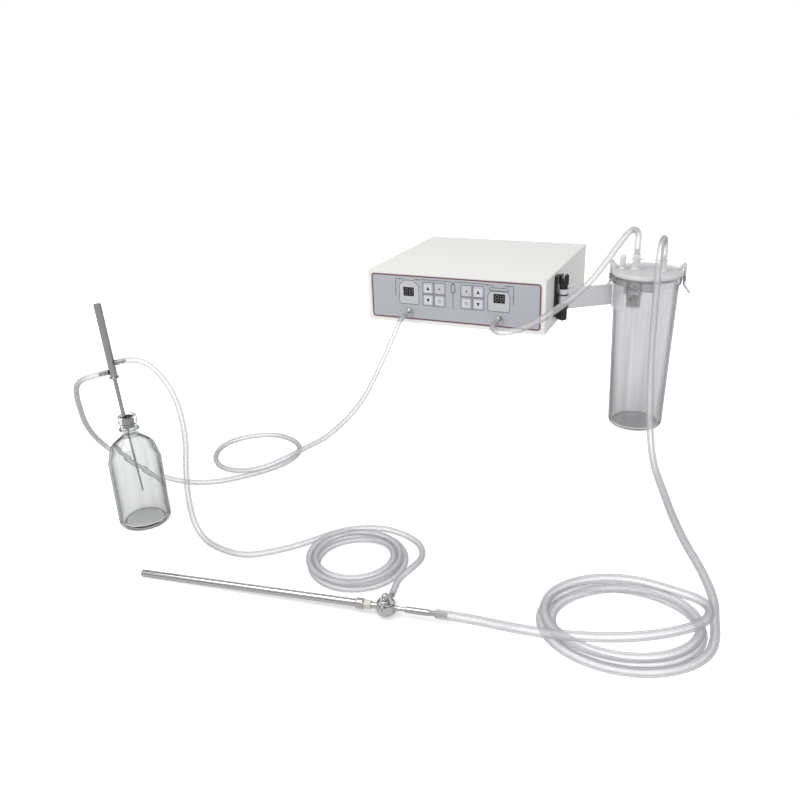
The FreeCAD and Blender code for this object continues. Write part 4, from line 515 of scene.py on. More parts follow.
class PumpColours(bpy.types.PropertyGroup):
    cover: shade("Cover", "The casing's white paint", 250, 249, 246)
    membrane: shade("Membrane", "The front panel's membrane", 189, 191, 197)
    keypad: shade("Keypad", "The printed blocks around the keys", 146, 143, 156)
    key: shade("Keys", "The key caps", 224, 225, 229)
    frame_line: shade("Frame line", "The line around the membrane", 122, 58, 68)
    pipe_line: shade("Flow lines", "The printed flow lines", 92, 92, 100)
    pale_print: shade("Pale print", "The fields inside the printed bottle and jar", 206, 207, 211)
    arm: shade("Arm", "The jar's arm", 226, 226, 228)
    jar_face: shade("Jar wall", "The jar seen square on", 214, 214, 215)
    # Painted shade: the jar's outline is darkened towards this colour.
    jar_edge: shade("Jar edge", "The jar seen at a slant", 98, 99, 103)
    glass_face: shade("Glass", "The bottle seen square on", 226, 227, 226)
    # Painted shade: the bottle's outline is darkened towards this colour.
    glass_edge: shade("Glass edge", "The bottle seen at a slant", 44, 48, 48)
    hose_face: shade("Hose", "The hoses seen square on", 224, 224, 226)
    # Painted shade: the hoses' outline is darkened towards this colour.
    hose_edge: shade("Hose edge", "The hoses at their outline", 132, 132, 136)


class PumpSizes(bpy.types.PropertyGroup):
    thin_hose: length("Irrigation hose", "Outer diameter of the air and irrigation hoses", 9.0, 4.0, 20.0)
    thick_hose: length("Suction hose", "Outer diameter of the vacuum and suction hoses", 12.0, 6.0, 30.0)
    hose_bore: FloatProperty(name="Hose bore", description="Bore of a hose as a share of its diameter",
                             default=0.64, min=0.3, max=0.9, subtype="FACTOR")
    print_line: length("Printed line", "Width of the line around the membrane", 2.2, 0.5, 5.0)
    sides: IntProperty(name="Sides", description="Faces around a turned piece", default=96, min=24, max=256)


# ---- hoses

THIN_FLOOR = TABLE_Z + 4.5
THICK_FLOOR = TABLE_Z + 6.0


def laid(floor, points):
    """Points of a hose, where a pair (x, y) lies on the surface."""
    return [(*point, floor) if len(point) == 2 else point for point in points]


AIR_POINTS = laid(THIN_FLOOR, [
    (-89.5, -180, 27.5), (-89.5, -201, 27), (-92, -219, 13), (-103, -231, -20), (-122, -250, -70),
    (-143, -286, -126), (-180, -350, -170), (-206, -399, -176), (-216, -440, -177), (-250, -474, -189),
    (-292, -487), (-335, -483), (-371, -450), (-384, -400), (-362, -356), (-315, -327), (-263, -338),
    (-228, -371), (-224, -422), (-253, -478), (-304, -535), (-361, -554), (-415, -556, -190),
    (-463, -562, -172), (-486, -583, -140), (-481, -613, -103), (-463, -644, -62), (-441, -668, -17),
    (-424, -684, 14), (-406, -693, 38), (-382.5, -689, 48.6), (-359.5, -678.3, 53.6),
])
IRRIGATION_LEAD = laid(THIN_FLOOR, [
    (-341, -669.6, 69.7), (-322, -660.6, 74.4), (-300, -650.5, 66), (-281, -643, 40), (-264, -642, 5),
    (-253, -648, -48), (-254, -658, -96), (-250, -668, -143), (-235, -680, -180), (-208, -692), (-173, -704),
    (-126, -707), (-90, -680), (-57, -643), (-36, -607), (-9, -589), (20, -585.5),
])
IRRIGATION_TAIL = [(113, -684, -189), (117.3, -703.5, -187.5), (120.8, -722.7, -187)]
VACUUM_POINTS = [
    (89.5, -180, 27.5), (89.5, -195, 27), (92, -211, 26), (102, -223, 24), (118, -226, 24), (146, -216, 30),
    (182, -194, 49), (216, -167, 74), (246, -138, 102), (269, -98, 138), (285, -66, 166),
    (295.9, -48.1, 179.6), (302.6, -37.2, 177.8), (307, -30, 168), (306, -31, 150), (306.5, -31, 132.3),
]
SUCTION_LEAD = laid(THICK_FLOOR, [
    (354, -33, 124.3), (354, -33, 147), (354, -49, 168), (353, -74, 169), (352, -92, 150), (353, -99, 120),
    (354, -106, 65), (357, -127, -14), (363, -151, -75), (371, -184, -128), (387, -238, -176),
    (412, -300, -190), (435, -370), (460, -441), (490, -507), (511, -569), (514, -610),
])
SUCTION_TAIL = [
    (505, -603, -176), (510, -650, -168), (475, -687, -168), (421, -720, -168), (353, -741, -169),
    (307, -743, -173), (269, -736, -181), (228, -732.3, -186), (190, -737.4, -186.7),
]


def irrigation_turns(count=77):
    """Turns of the irrigation coil: inwards on the surface, up one layer, and outwards on top.

    Radius falls 9.4 mm a turn, then grows 9.6 mm a turn, with a loose bulge at its last quarter turn.
    """
    turn = np.arange(1, count + 1) / CONTROLS_PER_TURN
    angle = np.radians(101.5 - 360 * turn)
    level = smoothstep((turn - 1.9) / 0.35)
    low, high = 72.5 - 9.4 * turn, 53.0 + 9.6 * (turn - 2.15)
    bulge = 25 * np.exp(-(((turn - 4.18) / 0.115) ** 2))
    radius = (low + (high - low) * level + bulge) / NURBS_SHRINK
    height = THIN_FLOOR + 9.3 * level - 5.0 * smoothstep((bulge - 8) / 14)
    return np.column_stack([34.5 + radius * np.cos(angle), -657 + radius * np.sin(angle), height])


def suction_turns(count=52):
    """Oval turns of the suction coil: inwards on the surface for 1.75 turns, then outwards on top.

    The oval's half lengths change 13.4 mm a turn, and the oval is turned 11.5 degrees.
    """
    turn = np.arange(1, count + 1) / CONTROLS_PER_TURN
    angle = np.radians(16.0 - 360 * turn)
    long_half = np.where(turn < 1.75, 108 - 13.4 * turn, 86 + 13.4 * (turn - 1.75))
    x = long_half / NURBS_SHRINK * np.cos(angle)
    y = (long_half - 22 + turn) / NURBS_SHRINK * np.sin(angle)
    c, s = math.cos(math.radians(11.5)), math.sin(math.radians(11.5))
    height = THICK_FLOOR + 12.4 * smoothstep((turn - 1.55) / 0.4)
    return np.column_stack([410.5 + c * x - s * y, -664 + s * x + c * y, height])


def run_hose(name, points, diameter, body, replaces):
    """Hollow hose along the smooth line of its points."""
    bore = bpy.context.scene.pump_sizes.hose_bore
    line = route(points)
    shape = hollow_tube(line, diameter / 2, diameter / 2 * bore, sides=20)
    made = make_piece(name, shape, "clear_hose", replaces, body=body, smooth=50)
    made.visible_shadow = False
    return made


# ---- shapes of the pieces


def rays_to(outline, centre, count):
    """Points where evenly turned rays from a centre meet a closed outline.

    A ray d meets the edge e from a at the distance (a x e) / (d x e), where it lies on the edge.
    """
    a = np.asarray(outline, float) - centre
    e = np.roll(a, -1, 0) - a
    angle = around(count)[:, None]
    dx, dy = np.cos(angle), np.sin(angle)
    slope = dx * e[:, 1] - dy * e[:, 0]
    slope = np.where(np.abs(slope) < 1e-9, 1e-9, slope)
    distance = (a[:, 0] * e[:, 1] - a[:, 1] * e[:, 0]) / slope
    share = (a[:, 0] * dy - a[:, 1] * dx) / slope
    met = (share > -1e-6) & (share < 1 + 1e-6) & (distance > 0)
    distance = np.where(met, distance, np.inf).min(axis=1, keepdims=True)
    return np.asarray(centre, float) + np.hstack([dx, dy]) * distance


def flat_ring(outer, inner, centre, y, depth, count=144):
    """Slab on the panel between two outlines (x, z), both cut by the same rays from a centre."""
    outer, inner = rays_to(outer, centre, count), rays_to(inner, centre, count)
    points = upright([(outer, y), (outer, y - depth), (inner, y - depth), (inner, y)])
    return points.reshape(-1, 3), [ring_faces(4, count, wrap_rows=True)]


def rounded_block(x0, x1, z0, z1, radius, steps=5):
    """Outline of a rectangle with round corners, counterclockwise."""
    return soften([(x0, z0), (x1, z0), (x1, z1), (x0, z1)], radius, steps)


def square(x, z, half, radius, steps=5):
    return rounded_block(x - half, x + half, z - half, z + half, radius, steps)


def circle(x, z, radius, count=40):
    angle = around(count)
    return np.column_stack([x + radius * np.cos(angle), z + radius * np.sin(angle)])


def arrow(x, z, size, turn):
    """Small triangle that points to the angle turn, in degrees, counterclockwise from +X."""
    angle = np.radians(turn + np.array([0, 130, 230]))
    return np.column_stack([x + size * np.cos(angle), z + size * np.sin(angle)])


def digit_bars(x, height=11.0, width=5.6, bar=1.1, depth=0.06, lean=0.09):
    """The seven bars of an eight in a display, as leaning hexagons: x grows by a share of the height."""
    level = np.array([(-1, 0), (-1, -1), (1, -1), (1, 0), (1, 1), (-1, 1)], float)
    trim = np.array([(0, 0), (1, 0), (-1, 0), (0, 0), (-1, 0), (1, 0)], float) * bar / 2
    half = width / 2
    lying = level * (half - 0.3, bar / 2) + trim
    standing = (level * (height / 4 - 0.3, bar / 2) + trim)[:, ::-1] * (-1, 1)
    shapes = [lying + (0, up) for up in (-height / 2, 0, height / 2)]
    shapes += [standing + (side, up) for side in (-half, half) for up in (-height / 4, height / 4)]
    return [plate(p @ [[1, 0], [lean, 1]] + (x, DISPLAY_Z), DISPLAY_FACE_Y, depth) for p in shapes]


def along(shape, start, end):
    """Shape drawn up the z axis, moved so that it stands on start and points to end."""
    start, end = np.asarray(start, float), np.asarray(end, float)
    z = unit(end - start)
    x = unit(np.cross(np.eye(3)[np.abs(z).argmin()], z))
    return placed(shape, start, [x, np.cross(z, x), z])


def on_handpiece(shape, lengthwise=False):
    """Shape in the handpiece's axes; a lengthwise one is drawn up the z axis and laid along x."""
    turn, tilt = HANDPIECE_TURN, HANDPIECE_TILT
    x = np.array([math.cos(turn) * math.cos(tilt), math.sin(turn) * math.cos(tilt), math.sin(tilt)])
    y = np.array([-math.sin(turn), math.cos(turn), 0.0])
    z = np.cross(x, y)
    return placed(shape, VALVE_CENTRE, [y, z, x] if lengthwise else [x, y, z])


def barbed(start, end, radius, ridge, bore, count):
    """Closed outline (radius, height) of a barb: count cones, each a ridge wider at its root."""
    pitch = (end - start) / count
    outline = [(bore, start)]
    for low in (start + step * pitch for step in range(count)):
        outline += [(radius + ridge, low + 0.02 * pitch), (radius, low + 0.96 * pitch)]
    return outline + [(radius - 0.3, end), (bore, end)]


def printed(name, shapes, look, body="console"):
    """Print of one look on the panel or on a key."""
    make_piece(name, joined(*shapes), look, body=body)


# ---- operators

# Cells of one key block, from its lower inner corner round: centre x, z, and x, z and half width of the hole.
KEY_CELLS = [(26.25, 53.75, 27.0, 53.5, 7.8), (49.75, 53.75, 49.5, 54.0, 7.8),
             (49.75, 77.25, 49.5, 76.0, 7.8), (26.25, 77.25, LIGHT_X, LIGHT_Z, 1.7)]
FLOW_RUNS = [
    [(-116, 57), (-116, 90), (-114.5, 91.5), (-100, 91.5)],
    [(-78, 91.5), (-66, 91.5), (-62, 92.6), (-3, 92.6), (0.3, 89)],
    [(0.3, 89), (3.6, 92.6), (60, 92.6), (64, 91.5), (76, 91.5), (80.5, 87.5)],
    [(97, 87.5), (101, 91.5), (114.5, 91.5), (116, 90), (116, 57)],
    [(0.3, 71.6), (0.3, 44)],
]
FLOW_ARROWS = [(-116, 70, 90), (-107, 91.5, 0), (-72, 91.5, 0), (68, 91.5, 0), (107, 91.5, 0), (116, 72, -90)]
FLOW_DOTS = [(0.3, 43, 1.1), (-108, 28.5, 0.9), (104, 29, 0.9)]


class PumpOperator:
    bl_options = {"REGISTER", "UNDO"}

    def execute(self, context):
        self.build(context.scene)
        return {"FINISHED"}


class PUMP_OT_print(PumpOperator, bpy.types.Operator):
    """Printed frame line, pictures, flow lines, key blocks, digits and key marks of the membrane"""

    bl_idname = "pump.print"
    bl_label = "Panel print"

    def build(self, scene):
        y, depth = PANEL_FACE_Y, PRINT_DEPTH
        width = scene.pump_sizes.print_line / MM
        frame_line = band(rounded_block(-165.5, 165.5, 15.2, 97.8, 5, 8), y, depth, width)
        printed("membrane_frame_line", [frame_line], "red_line")
        bottle = [(-108.8, 43.6), (-68.6, 43.6), (-68.6, 79), (-79, 89.5), (-98.8, 89.5), (-108.8, 79)]
        bottle = soften(bottle, [3.5, 3.5, 2, 2, 2, 2])
        jar = soften([(68, 43), (109.5, 43), (109.5, 73), (104.5, 80.5), (73, 80.5), (68, 73)],
                     [4, 4, 5, 1.5, 1.5, 5])
        window = rounded_block(-10.9, 10.9, 58.9, 76.2, 0.4, 2)
        pale = [flat_ring(outline, window + (x, 0), (x, DISPLAY_Z), y, depth)
                for outline, x in ((bottle, -PORT_X), (jar, PORT_X))]
        blocks = []
        for side in (-1, 1):
            for corner, (x, z, hole_x, hole_z, half) in enumerate(KEY_CELLS):
                x, hole_x = side * x, side * hole_x
                hole = circle(hole_x, hole_z, half) if corner == 3 else square(hole_x, hole_z, half, 1.0)
                pale.append(flat_ring(square(x, z, 9.7, 2.5), hole, (hole_x, hole_z), y, depth * 1.5))
                radii = np.where(np.arange(4) == (corner if side > 0 else corner ^ 1), 4.0, 0.0)
                outer, inner = square(x, z, 11.75, radii, 6), square(x, z, 9.75, 2.5)
                blocks.append(flat_ring(outer, inner, (x, z), y, depth))
        printed("membrane_pale_fields", pale, "pale_print")
        printed("membrane_key_blocks", blocks, "keypad")
        thin = 0.95
        lines = [band(outline, y, depth * 2, width) for outline, width in (
            (bottle, thin), (jar, thin), (rounded_block(71.4, 106.7, 81.5, 87, 1.5), thin),
            (rounded_block(-3.4, 4.0, 71.6, 88, 3.2), thin * 1.6))]
        lines += [band(run, y, depth * 2, thin, closed=False) for run in FLOW_RUNS]
        lines += [plate(arrow(x, z, 1.9, turn), y, depth * 3) for x, z, turn in FLOW_ARROWS]
        lines += [plate(circle(*dot), y, depth * 3) for dot in FLOW_DOTS]
        printed("membrane_flow_lines", lines, "grey_line")
        bars = [bar for side in (-PORT_X, PORT_X) for x in (side - 4.7, side + 4.7) for bar in digit_bars(x)]
        printed("display_digits", bars, "digits")
        lenses = [plate(circle(side * LIGHT_X, LIGHT_Z, 1.45), y, depth * 2) for side in (-1, 1)]
        printed("status_light_lenses", lenses, "black_print")
        for side, word in ((-1, "left"), (1, "right")):
            x = side * LIGHT_X
            marks = {"up": [plate(arrow(side * 49.5, 76.0, 4.2, 90), KEY_FACE_Y, depth)],
                     "down": [plate(arrow(side * 49.5, 54.0, 4.2, -90), KEY_FACE_Y, depth)],
                     "run": [band(circle(x, 53.5, 2.9), KEY_FACE_Y, depth, 0.6), plate(
                         rounded_block(x - 0.35, x + 0.35, 53.3, 57.4, 0.2, 2), KEY_FACE_Y, depth * 1.3)]}
            for way, mark in marks.items():
                printed(f"key_{word}_{way}_mark", mark, "black_print", f"key_{word}_{way}")


class PUMP_OT_ports(PumpOperator, bpy.types.Operator):
    """Steel air and suction ports of the console"""

    bl_idname = "pump.ports"
    bl_label = "Console ports"

    def build(self, scene):
        shapes = []
        for x, barb in ((-PORT_X, 3.0), (PORT_X, 3.8)):
            corners = [(2, -26.4), (3.2, -26.4), (3.2, -6.4), (7, -6.4), (7, -2.4), (4.5, -2.4), (4.5, -0.02),
                       (8, -0.02), (8, 3), (5.2, 3), (4.5, 3.7), (4.5, 6.6)]
            corners += barbed(6.6, 24.6, barb, 0.35, 2.0, 4)[1:]
            radii = np.zeros(len(corners))
            radii[[7, 8, 11]] = 0.4, 0.8, 0.4
            shape = spun(corners, radii)
            shapes.append(placed(shape, (x, PANEL_FACE_Y, PORT_Z), [(1, 0, 0), (0, 0, 1), (0, -1, 0)]))
        make_piece("console_port_fittings", joined(*shapes), "bright_steel", ["console_ports"])


class PUMP_OT_jar(PumpOperator, bpy.types.Operator):
    """Collection jar, its lid with ports and cap strap, and the float ball"""

    bl_idname = "pump.jar"
    bl_label = "Jar and lid"

    def build(self, scene):
        x, y = JAR_AXIS
        base, top = -196.0, 97.5
        wall = [(0, base + 1.2), (38, base + 1.2), (41, base), (46, base), (50, base + 5), (57.5, 84),
                (61, 84), (61, top), (55, top), (55, 84), (47.5, base + 7), (44.5, base + 4), (0, base + 4)]
        shapes = [spun(wall, [0, 2, 1, 3.5, 6, 1.2, 0.8, 1.2, 1, 3, 5, 3, 0], x, y, 1.5, 5)]
        ear = soften([(60.3, 85), (68.3, 85), (68.3, 94), (60.3, 94)], [0, 2, 2, 0])
        half_clip, play, ear_width = 3.8, 0.3, 2.5
        for angle in np.radians(CLIP_DIRECTIONS):
            u = np.array([math.cos(angle), math.sin(angle), 0])
            shift = np.cross(u, (0, 0, 1)) * (half_clip + play + ear_width / 2)
            shapes += [slab(ear, ear_width, (x, y, 0) + side * shift, u, (0, 0, 1)) for side in (-1, 1)]
        make_piece("jar_wall", joined(*shapes), "clear_plastic", ["canister_jar"], body="canister")
        lid = [(0, 102), (51.6, 102), (51.6, 92), (54.6, 92), (54.6, 102), (58, 102), (58, 99), (62.5, 99),
               (62.5, 106), (59.2, 106), (57.6, 104.6), (0, 104.6)]
        lid = spun(lid, [0, 0.5, 0.5, 0.5, 0.5, 0.4, 0.4, 0.8, 1.6, 1.2, 1.0, 0], x, y, 1.5)
        make_piece("jar_lid", lid, "lid_plastic", ["canister_lid"], body="canister")
        stub = [(2.5, 99), (5, 99), (5, 104.7), (6.6, 104.7), (6.3, 106), (4, 109), (4, 124), (2.5, 124)]
        cap = [(0, 124.2), (4.1, 124.2), (4.1, 112), (5.2, 112), (5.2, 131), (0, 131)]
        tie = soften([(286.9, -33), (354, -33), (354, -29), (286.9, -29)], 0.5)
        fittings = [spun(stub, [0, 0, 0, 0.3, 0.8, 1.5, 0.4, 0], *SPARE_PORT)]
        strap = [spun(cap, [0, 0.2, 0.3, 0.3, 2.6, 0], *SPARE_PORT, steps=6),
                 slab(tie, 1.2, (0, 0, 123.1), (1, 0, 0), (0, 1, 0))]
        for port, radius, crown in ((VACUUM_PORT, 7.0, 132.0), (PATIENT_PORT, 6.0, 124.0)):
            outline = [(3, 99), (5, 99), (5, 104.7), (radius + 2.6, 104.7), (radius + 2.2, 106),
                       (radius, 109.5), (radius, crown)] + barbed(crown, crown + 9, 3.7, 0.4, 3.0, 2)[1:]
            radii = [0, 0, 0, 0.3, 1.0, 2.0, 1.6] + [0.0] * (len(outline) - 7)
            fittings.append(spun(outline, radii, *port))
            inner, outer = radius + 0.1, radius + 2.1
            ring = [(inner, 122.5), (outer, 122.5), (outer, 123.7), (inner, 123.7)]
            strap.append(spun(ring, 0.3, *port, steps=3))
        make_piece("lid_port_fittings", joined(*fittings), "lid_plastic", ["lid_ports"], body="canister")
        make_piece("lid_cap_strap", joined(*strap), "lid_plastic", body="canister")
        turn = np.linspace(-math.pi / 2, math.pi / 2, 33)
        seam = 1 + 0.012 * np.exp(-((turn / 0.05) ** 2))
        ball = np.column_stack([10 * np.cos(turn) * seam, 47.1 + 10 * np.sin(turn)])
        ball[[0, -1], 0] = 0
        make_piece("float_shell", turned(ball, *VACUUM_PORT), "float_white", ["float_ball"], body="float")


class PUMP_OT_bottle(PumpOperator, bpy.types.Operator):
    """Saline bottle with its stopper, and the spike through it"""

    bl_idname = "pump.bottle"
    bl_label = "Bottle and spike"

    def build(self, scene):
        outline = [(0, 2.5), (28, 2.5), (32, 0), (36, 0), (40, 5), (40, 108), (33, 134), (12.4, 151),
                   (12.4, 159), (15, 160), (15, 162.5), (12.4, 163.5), (12.4, 171), (14.5, 173), (14.5, 183),
                   (9.3, 183), (9.3, 153), (30.5, 133), (37, 108), (37, 10), (31, 6), (0, 8)]
        radii = [0, 5, 2, 3, 5, 24, 22, 5, 0.8, 0.9, 0.9, 0.8, 1, 1.5, 2, 1.2, 8, 20, 24, 6, 8, 0]
        glass = spun(np.add(outline, (0, TABLE_Z)), radii, *BOTTLE_AXIS, 1.5, 7)
        make_piece("bottle_wall", glass, "bottle_glass", ["saline_bottle"])
        top, low, mouth, tip = np.array([(-353.9, -675.7, 159.5), (-349.4, -673.6, 44.9),
                                         (-346.5, -672.2, -19.2), (-339.0, -668.7, -146.7)])
        long = np.linalg.norm(top - low)
        handle = [(0, long - 8), (3.05, long - 8), (3.05, 0), (7.2, 0), (7.2, 2.5), (5.5, 2.6), (5.5, long),
                  (0, long)]
        shapes = [along(spun(handle, [0, 0, 0, 0.7, 0.7, 0.6, 0.8, 0]), low, top)]
        collar = spun([(2.0, 3.2), (4.1, 3.2), (4.1, 6.6), (2.0, 6.6)], [0, 0.4, 0.4, 0], share=0.5)
        for start, end in (((-347.6, -672.7, 68.2), (-331.0, -664.9, 72.2)),
                           ((-352.5, -675.1, 55.0), (-369.2, -682.9, 51.5))):
            barb = turned(barbed(4.6, math.dist(start, end), 2.75, 0.45, 2.0, 3), share=0.5)
            shapes += [along(barb, start, end), along(collar, start, end)]
        make_piece("spike_handle", joined(*shapes), "drawn_steel", ["spike_outer_tube"])
        down, up = unit(tip - mouth), unit(top - low)
        neck = mouth + down * 24
        path = [tip, (tip + neck) / 2, neck + down * 0.8, neck, mouth + down * 2, mouth, low, low + up * 60]
        needle = hollow_tube(path, [1.2, 1.6, 1.6, 3.0, 3.0, 3.0, 3.0, 3.0], 1.0, sides=36)
        make_piece("spike_needle", needle, "drawn_steel", ["spike_inner_tube"])


class PUMP_OT_handpiece(PumpOperator, bpy.types.Operator):
    """Cannula, lock nut, sleeve, valve with its tap, and grip"""

    bl_idname = "pump.handpiece"
    bl_label = "Handpiece"

    def build(self, scene):
        tube = [(4.2, -365), (5, -365), (5, -42), (4.6, -42), (4.6, -31), (4.2, -31)]
        tube = on_handpiece(spun(tube, [0.3, 0.3, 0.2, 0, 0.2, 0], steps=3), True)
        make_piece("cannula_wall", tube, "steel", ["cannula_tube"])
        nut = [(4.7, -41), (6.4, -41), (7, -40), (7, -31.6), (6.4, -30.3), (4.7, -30.3)]
        points, faces = spun(nut, [0, 0.4, 0.5, 0.5, 0.4, 0], share=2, steps=3)
        groove = 0.8 * np.maximum(0, np.cos(12 * np.arctan2(points[:, 1], points[:, 0]))) ** 3
        points[:, :2] *= 1 - (groove / np.hypot(points[:, 0], points[:, 1]))[:, None]
        make_piece("lock_nut_wall", on_handpiece((points, faces), True), "bright_steel", ["cannula_lock_nut"],
                   "lock_nut")
        count = scene.pump_sizes.sides
        flat = np.minimum(1 / np.cos((around(count) + math.pi / 6) % (math.pi / 3) - math.pi / 6), 1.12)
        rows = [(2.9, -30), (5.0, -30), (5.5, -29.4), (5.5, -20.6), (5.0, -20), (2.9, -20)]
        points, faces = turned(rows)
        points[count:-count, :2] *= np.tile(flat, 4)[:, None]
        sleeve = on_handpiece((points, faces), True)
        make_piece("sleeve_wall", sleeve, "sleeve_cream", ["seal_sleeve"], smooth=20)
        drum = [(0, -7), (12.5, -7), (12.5, 7), (9, 7), (8.1, 6.4), (0, 6.4)]
        shapes = [on_handpiece(spun(drum, [0, 1.8, 0.9, 0.4, 0.3, 0], steps=5))]
        for outline in ([(1.5, -37), (2.8, -37), (2.8, -20), (4.2, -20), (4.2, -11.5), (1.5, -11.5)],
                        [(1.5, 11.5), (3.6, 11.5), (3.6, 14.5), (2.8, 15.5), (2.8, 26), (1.5, 26)]):
            shapes.append(on_handpiece(spun(outline, [0, 0.2, 0.5, 0.5, 0, 0], share=0.5), True))
        inlet = [(1.5, 10), (4.4, 10), (4.4, 17.0), (3.4, 18)] + barbed(18, 31, 2.9, 0.4, 1.5, 3)[1:]
        side_turn = math.radians(97.3) - HANDPIECE_TURN
        inlet = along(turned(inlet, share=0.5), (0, 0, 0), (math.cos(side_turn), math.sin(side_turn), 0))
        shapes.append(on_handpiece(inlet))
        make_piece("valve_shell", joined(*shapes), "bright_steel", ["valve_body"])
        low = 7.5
        dome = soften([(0, -4.3), (8, -4.3), (8, low), (11.5, low), (11.5, low + 1.2), (7.2, low + 4.9),
                       (3.9, low + 5.0)], [0, 0.2, 0.2, 0.5, 1.2, 1.4, 0], 5)
        ball = np.radians(np.linspace(-42, 84, 15))
        knob = np.column_stack([5 * np.cos(ball), 15.9 + 5 * np.sin(ball)])
        dome = turned(np.concatenate([dome, knob, [[0, 20.9]]]))
        lever = [(0, 0), (2.6, 0), (2.6, 13), (3.35, 15), (3.35, 17), (0, 18.2)]
        lever = spun(lever, [0, 0.2, 2, 1.6, 2.2, 0], share=0.5, steps=6)
        lever = along(lever, (0, -8.6, low + 2.75), (0, -30, low + 2.75))
        tap = joined(on_handpiece(dome), on_handpiece(lever))
        make_piece("tap_shell", tap, "bright_steel", ["valve_tap"], "tap")
        grip = [(1.5, 26), (3.6, 26), (4.3, 26.8), (4.3, 34), (3.9, 34.4), (3.9, 35.2), (4.3, 35.6),
                (4.3, 50), (3.9, 50.4), (3.9, 51.2), (4.3, 51.6), (4.3, 58)]
        tail = barbed(58, 81, 3.3, 0.65, 1.5, 4)[1:]
        radii = [0, 0.3, 0.4] + [0.1] * 8 + [0.4] + [0.05] * len(tail)
        grip = on_handpiece(spun(grip + tail, radii, steps=2), True)
        make_piece("grip_shell", grip, "steel", ["handle_grip"])


class PUMP_OT_stage(PumpOperator, bpy.types.Operator):
    """White floor, soft lamps, world and camera"""

    bl_idname = "pump.stage"
    bl_label = "Stage"

    def build(self, scene):
        scene.view_settings.view_transform = "Standard"
        MATERIALS["floor"], tree, shader = principled("White floor")
        away = add_node(tree, "VectorMath", {0: mapped(tree, Location=(0.0, 0.45, 0.2))},
                        operation="LENGTH").outputs["Value"]
        lift = ranged(tree, away, 0.36, 1.0, 0.3, 0.75)
        path = add_node(tree, "LightPath").outputs
        seen = maths(tree, "MAXIMUM", path["Is Camera Ray"], path["Is Transmission Ray"])
        glow = maths(tree, "MULTIPLY", seen, lift)
        wire(tree, shader, {"Base Color": (0.82, 0.82, 0.82, 1), "Roughness": 0.9, "Specular IOR Level": 0.1,
                            "Emission Color": (1, 1, 1, 1), "Emission Strength": glow})
        span, count = 4500.0, 9
        side = np.linspace(-span, span, count)
        x, y = np.meshgrid(side, side)
        points = np.stack([x.ravel(), y.ravel() - 300, np.full(x.size, TABLE_Z)], axis=-1)
        floor = make_piece("floor", (points, [ring_faces(count, count, False, False)]), "floor", body=None)
        self.light(scene)
        self.aim(scene)

    def light(self, scene):
        """World that is white to the eye, plain to matt surfaces and banded to polished ones."""
        world = bpy.data.worlds.new("Studio")
        scene.world = world
        world.use_nodes = True
        tree = world.node_tree
        direction = add_node(tree, "TexCoord").outputs["Generated"]
        height = add_node(tree, "SeparateXYZ", {"Vector": direction}).outputs["Z"]
        bands = add_node(tree, "ValToRGB", {"Fac": height})
        stops = bands.color_ramp.elements
        stops[0].color, stops[1].color = (0.9, 0.9, 0.9, 1), (0.95, 0.95, 0.95, 1)
        for at, value in ((0.04, 0.12), (0.2, 0.06), (0.3, 0.7), (0.5, 0.92), (0.68, 0.88), (0.76, 0.22),
                          (0.84, 0.18), (0.92, 0.9)):
            stops.new(at).color = (value, value, value, 1)
        plain, banded, white = (
            add_node(tree, "Background", {"Color": hue, "Strength": 1.0}).outputs[0]
            for hue in ((0.64, 0.642, 0.65, 1), bands.outputs["Color"], (1, 1, 1, 1)))
        path = add_node(tree, "LightPath").outputs
        seen = maths(tree, "MAXIMUM", path["Is Camera Ray"], path["Is Transmission Ray"])
        shine = mixed_shader(tree, path["Is Glossy Ray"], plain, banded)
        tree.links.new(mixed_shader(tree, seen, shine, white), tree.nodes["World Output"].inputs["Surface"])
        for name, place, target, size, power in (
            ("Key lamp", (-0.7, -1.3, 1.9), (0.0, -0.35, 0.0), 1.4, 21.0),
            ("Fill lamp", (1.5, -1.6, 1.3), (0.1, -0.4, -0.1), 1.1, 4.0),
        ):
            lamp = bpy.data.lights.new(name, "AREA")
            lamp.shape, lamp.size, lamp.energy = "DISK", size, power
            turn = (Vector(target) - Vector(place)).to_track_quat("-Z", "Y").to_matrix().to_4x4()
            added(name, lamp).matrix_world = Matrix.Translation(place) @ turn

    def aim(self, scene):
        """Camera at the photo's place and angle."""
        camera = bpy.data.cameras.new("Camera")
        camera.lens, camera.sensor_width, camera.clip_start, camera.clip_end = 35.19, 36.0, 0.05, 30.0
        scene.camera = added("Camera", camera)
        turn = Matrix.Translation(CAMERA_PLACE)
        for angle, axis in ((CAMERA_YAW, "Z"), (math.pi / 2 - CAMERA_PITCH, "X"), (CAMERA_ROLL, "Z")):
            turn = turn @ Matrix.Rotation(angle, 4, axis)
        scene.camera.matrix_world = turn


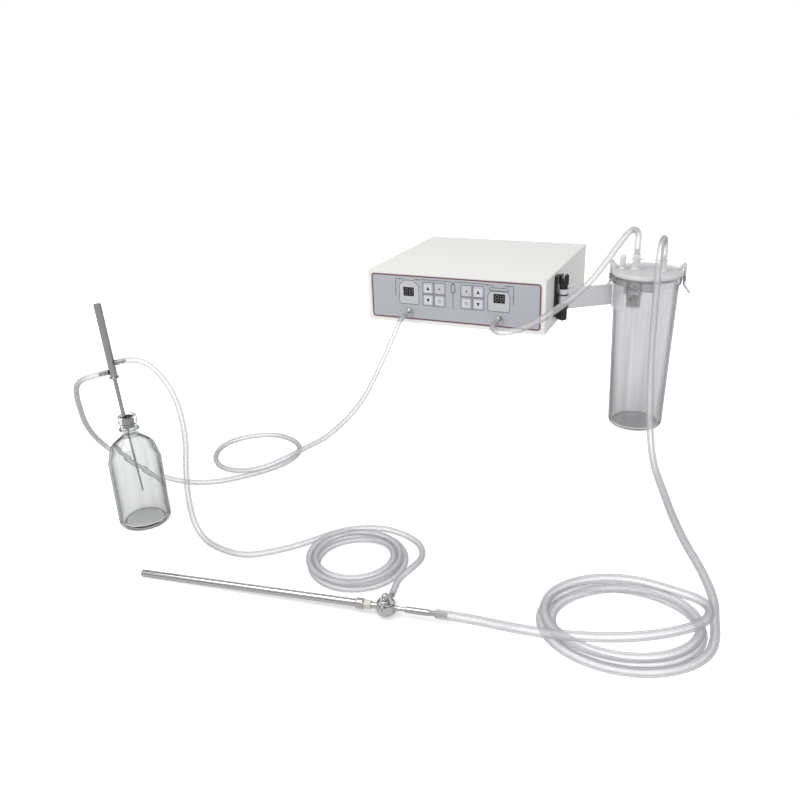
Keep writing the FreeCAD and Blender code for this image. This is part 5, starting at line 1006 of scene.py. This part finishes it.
class PUMP_OT_hoses(PumpOperator, bpy.types.Operator):
    """Air, irrigation, vacuum and suction hoses with their coils"""

    bl_idname = "pump.hoses"
    bl_label = "Hoses"

    def build(self, scene):
        sizes = scene.pump_sizes
        thin, thick = sizes.thin_hose / MM, sizes.thick_hose / MM
        run_hose("air_line", AIR_POINTS, thin, "console", ["air_hose"])
        points = np.concatenate([IRRIGATION_LEAD, irrigation_turns(), IRRIGATION_TAIL])
        run_hose("irrigation_line", points, thin, "console",
                 ["irrigation_hose", "irrigation_hose_coil", "irrigation_hose_tail"])
        vacuum = run_hose("vacuum_line", VACUUM_POINTS, thick, None, ["vacuum_hose"])
        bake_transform(vacuum)
        points = np.concatenate([SUCTION_LEAD, suction_turns(), SUCTION_TAIL])
        suction = run_hose("suction_line", points, thick, None,
                           ["suction_hose_drop", "suction_hose_coil", "suction_hose_tail"])
        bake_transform(suction)


class PUMP_OT_solids(PumpOperator, bpy.types.Operator):
    """Finishes of the solids that keep their own shape"""

    bl_idname = "pump.solids"
    bl_label = "Solids"

    def build(self, scene):
        replaced = {name for piece in bpy.data.objects for name in piece.get("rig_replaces", [])}
        looks = {part["node"]: part["material_slot"] for part in frame["record"]["subparts"]}
        looks["canister_ring"] = "ring_clear"
        for node in frame["nodes"]:
            if node not in replaced:
                materials = frame["nodes"][node].data.materials
                materials.clear()
                materials.append(finish_of(looks[node]))


CLASSES = [PumpColours, PumpSizes, PUMP_OT_stage, PUMP_OT_hoses, PUMP_OT_print, PUMP_OT_ports, PUMP_OT_jar,
           PUMP_OT_bottle, PUMP_OT_handpiece, PUMP_OT_solids]
STEPS = ["stage", "hoses", "print", "ports", "jar", "bottle", "handpiece", "solids"]


class PUMP_PT_panel(bpy.types.Panel):
    bl_label = "Suction Pump Set"
    bl_idname = "PUMP_PT_panel"
    bl_space_type = "VIEW_3D"
    bl_region_type = "UI"
    bl_category = "Pump"

    def draw(self, context):
        for group in (context.scene.pump_sizes, context.scene.pump_colours):
            for name in group.__annotations__:
                self.layout.prop(group, name)
        for step in STEPS:
            self.layout.operator(f"pump.{step}")


def register():
    for kind in [*CLASSES, PUMP_PT_panel]:
        bpy.utils.register_class(kind)
    bpy.types.Scene.pump_colours = PointerProperty(type=PumpColours)
    bpy.types.Scene.pump_sizes = PointerProperty(type=PumpSizes)


def unregister():
    del bpy.types.Scene.pump_sizes
    del bpy.types.Scene.pump_colours
    for kind in reversed([*CLASSES, PUMP_PT_panel]):
        bpy.utils.unregister_class(kind)


def main():
    register()
    for step in STEPS:
        getattr(bpy.ops.pump, step)()


if __name__ == "__main__":
    main()
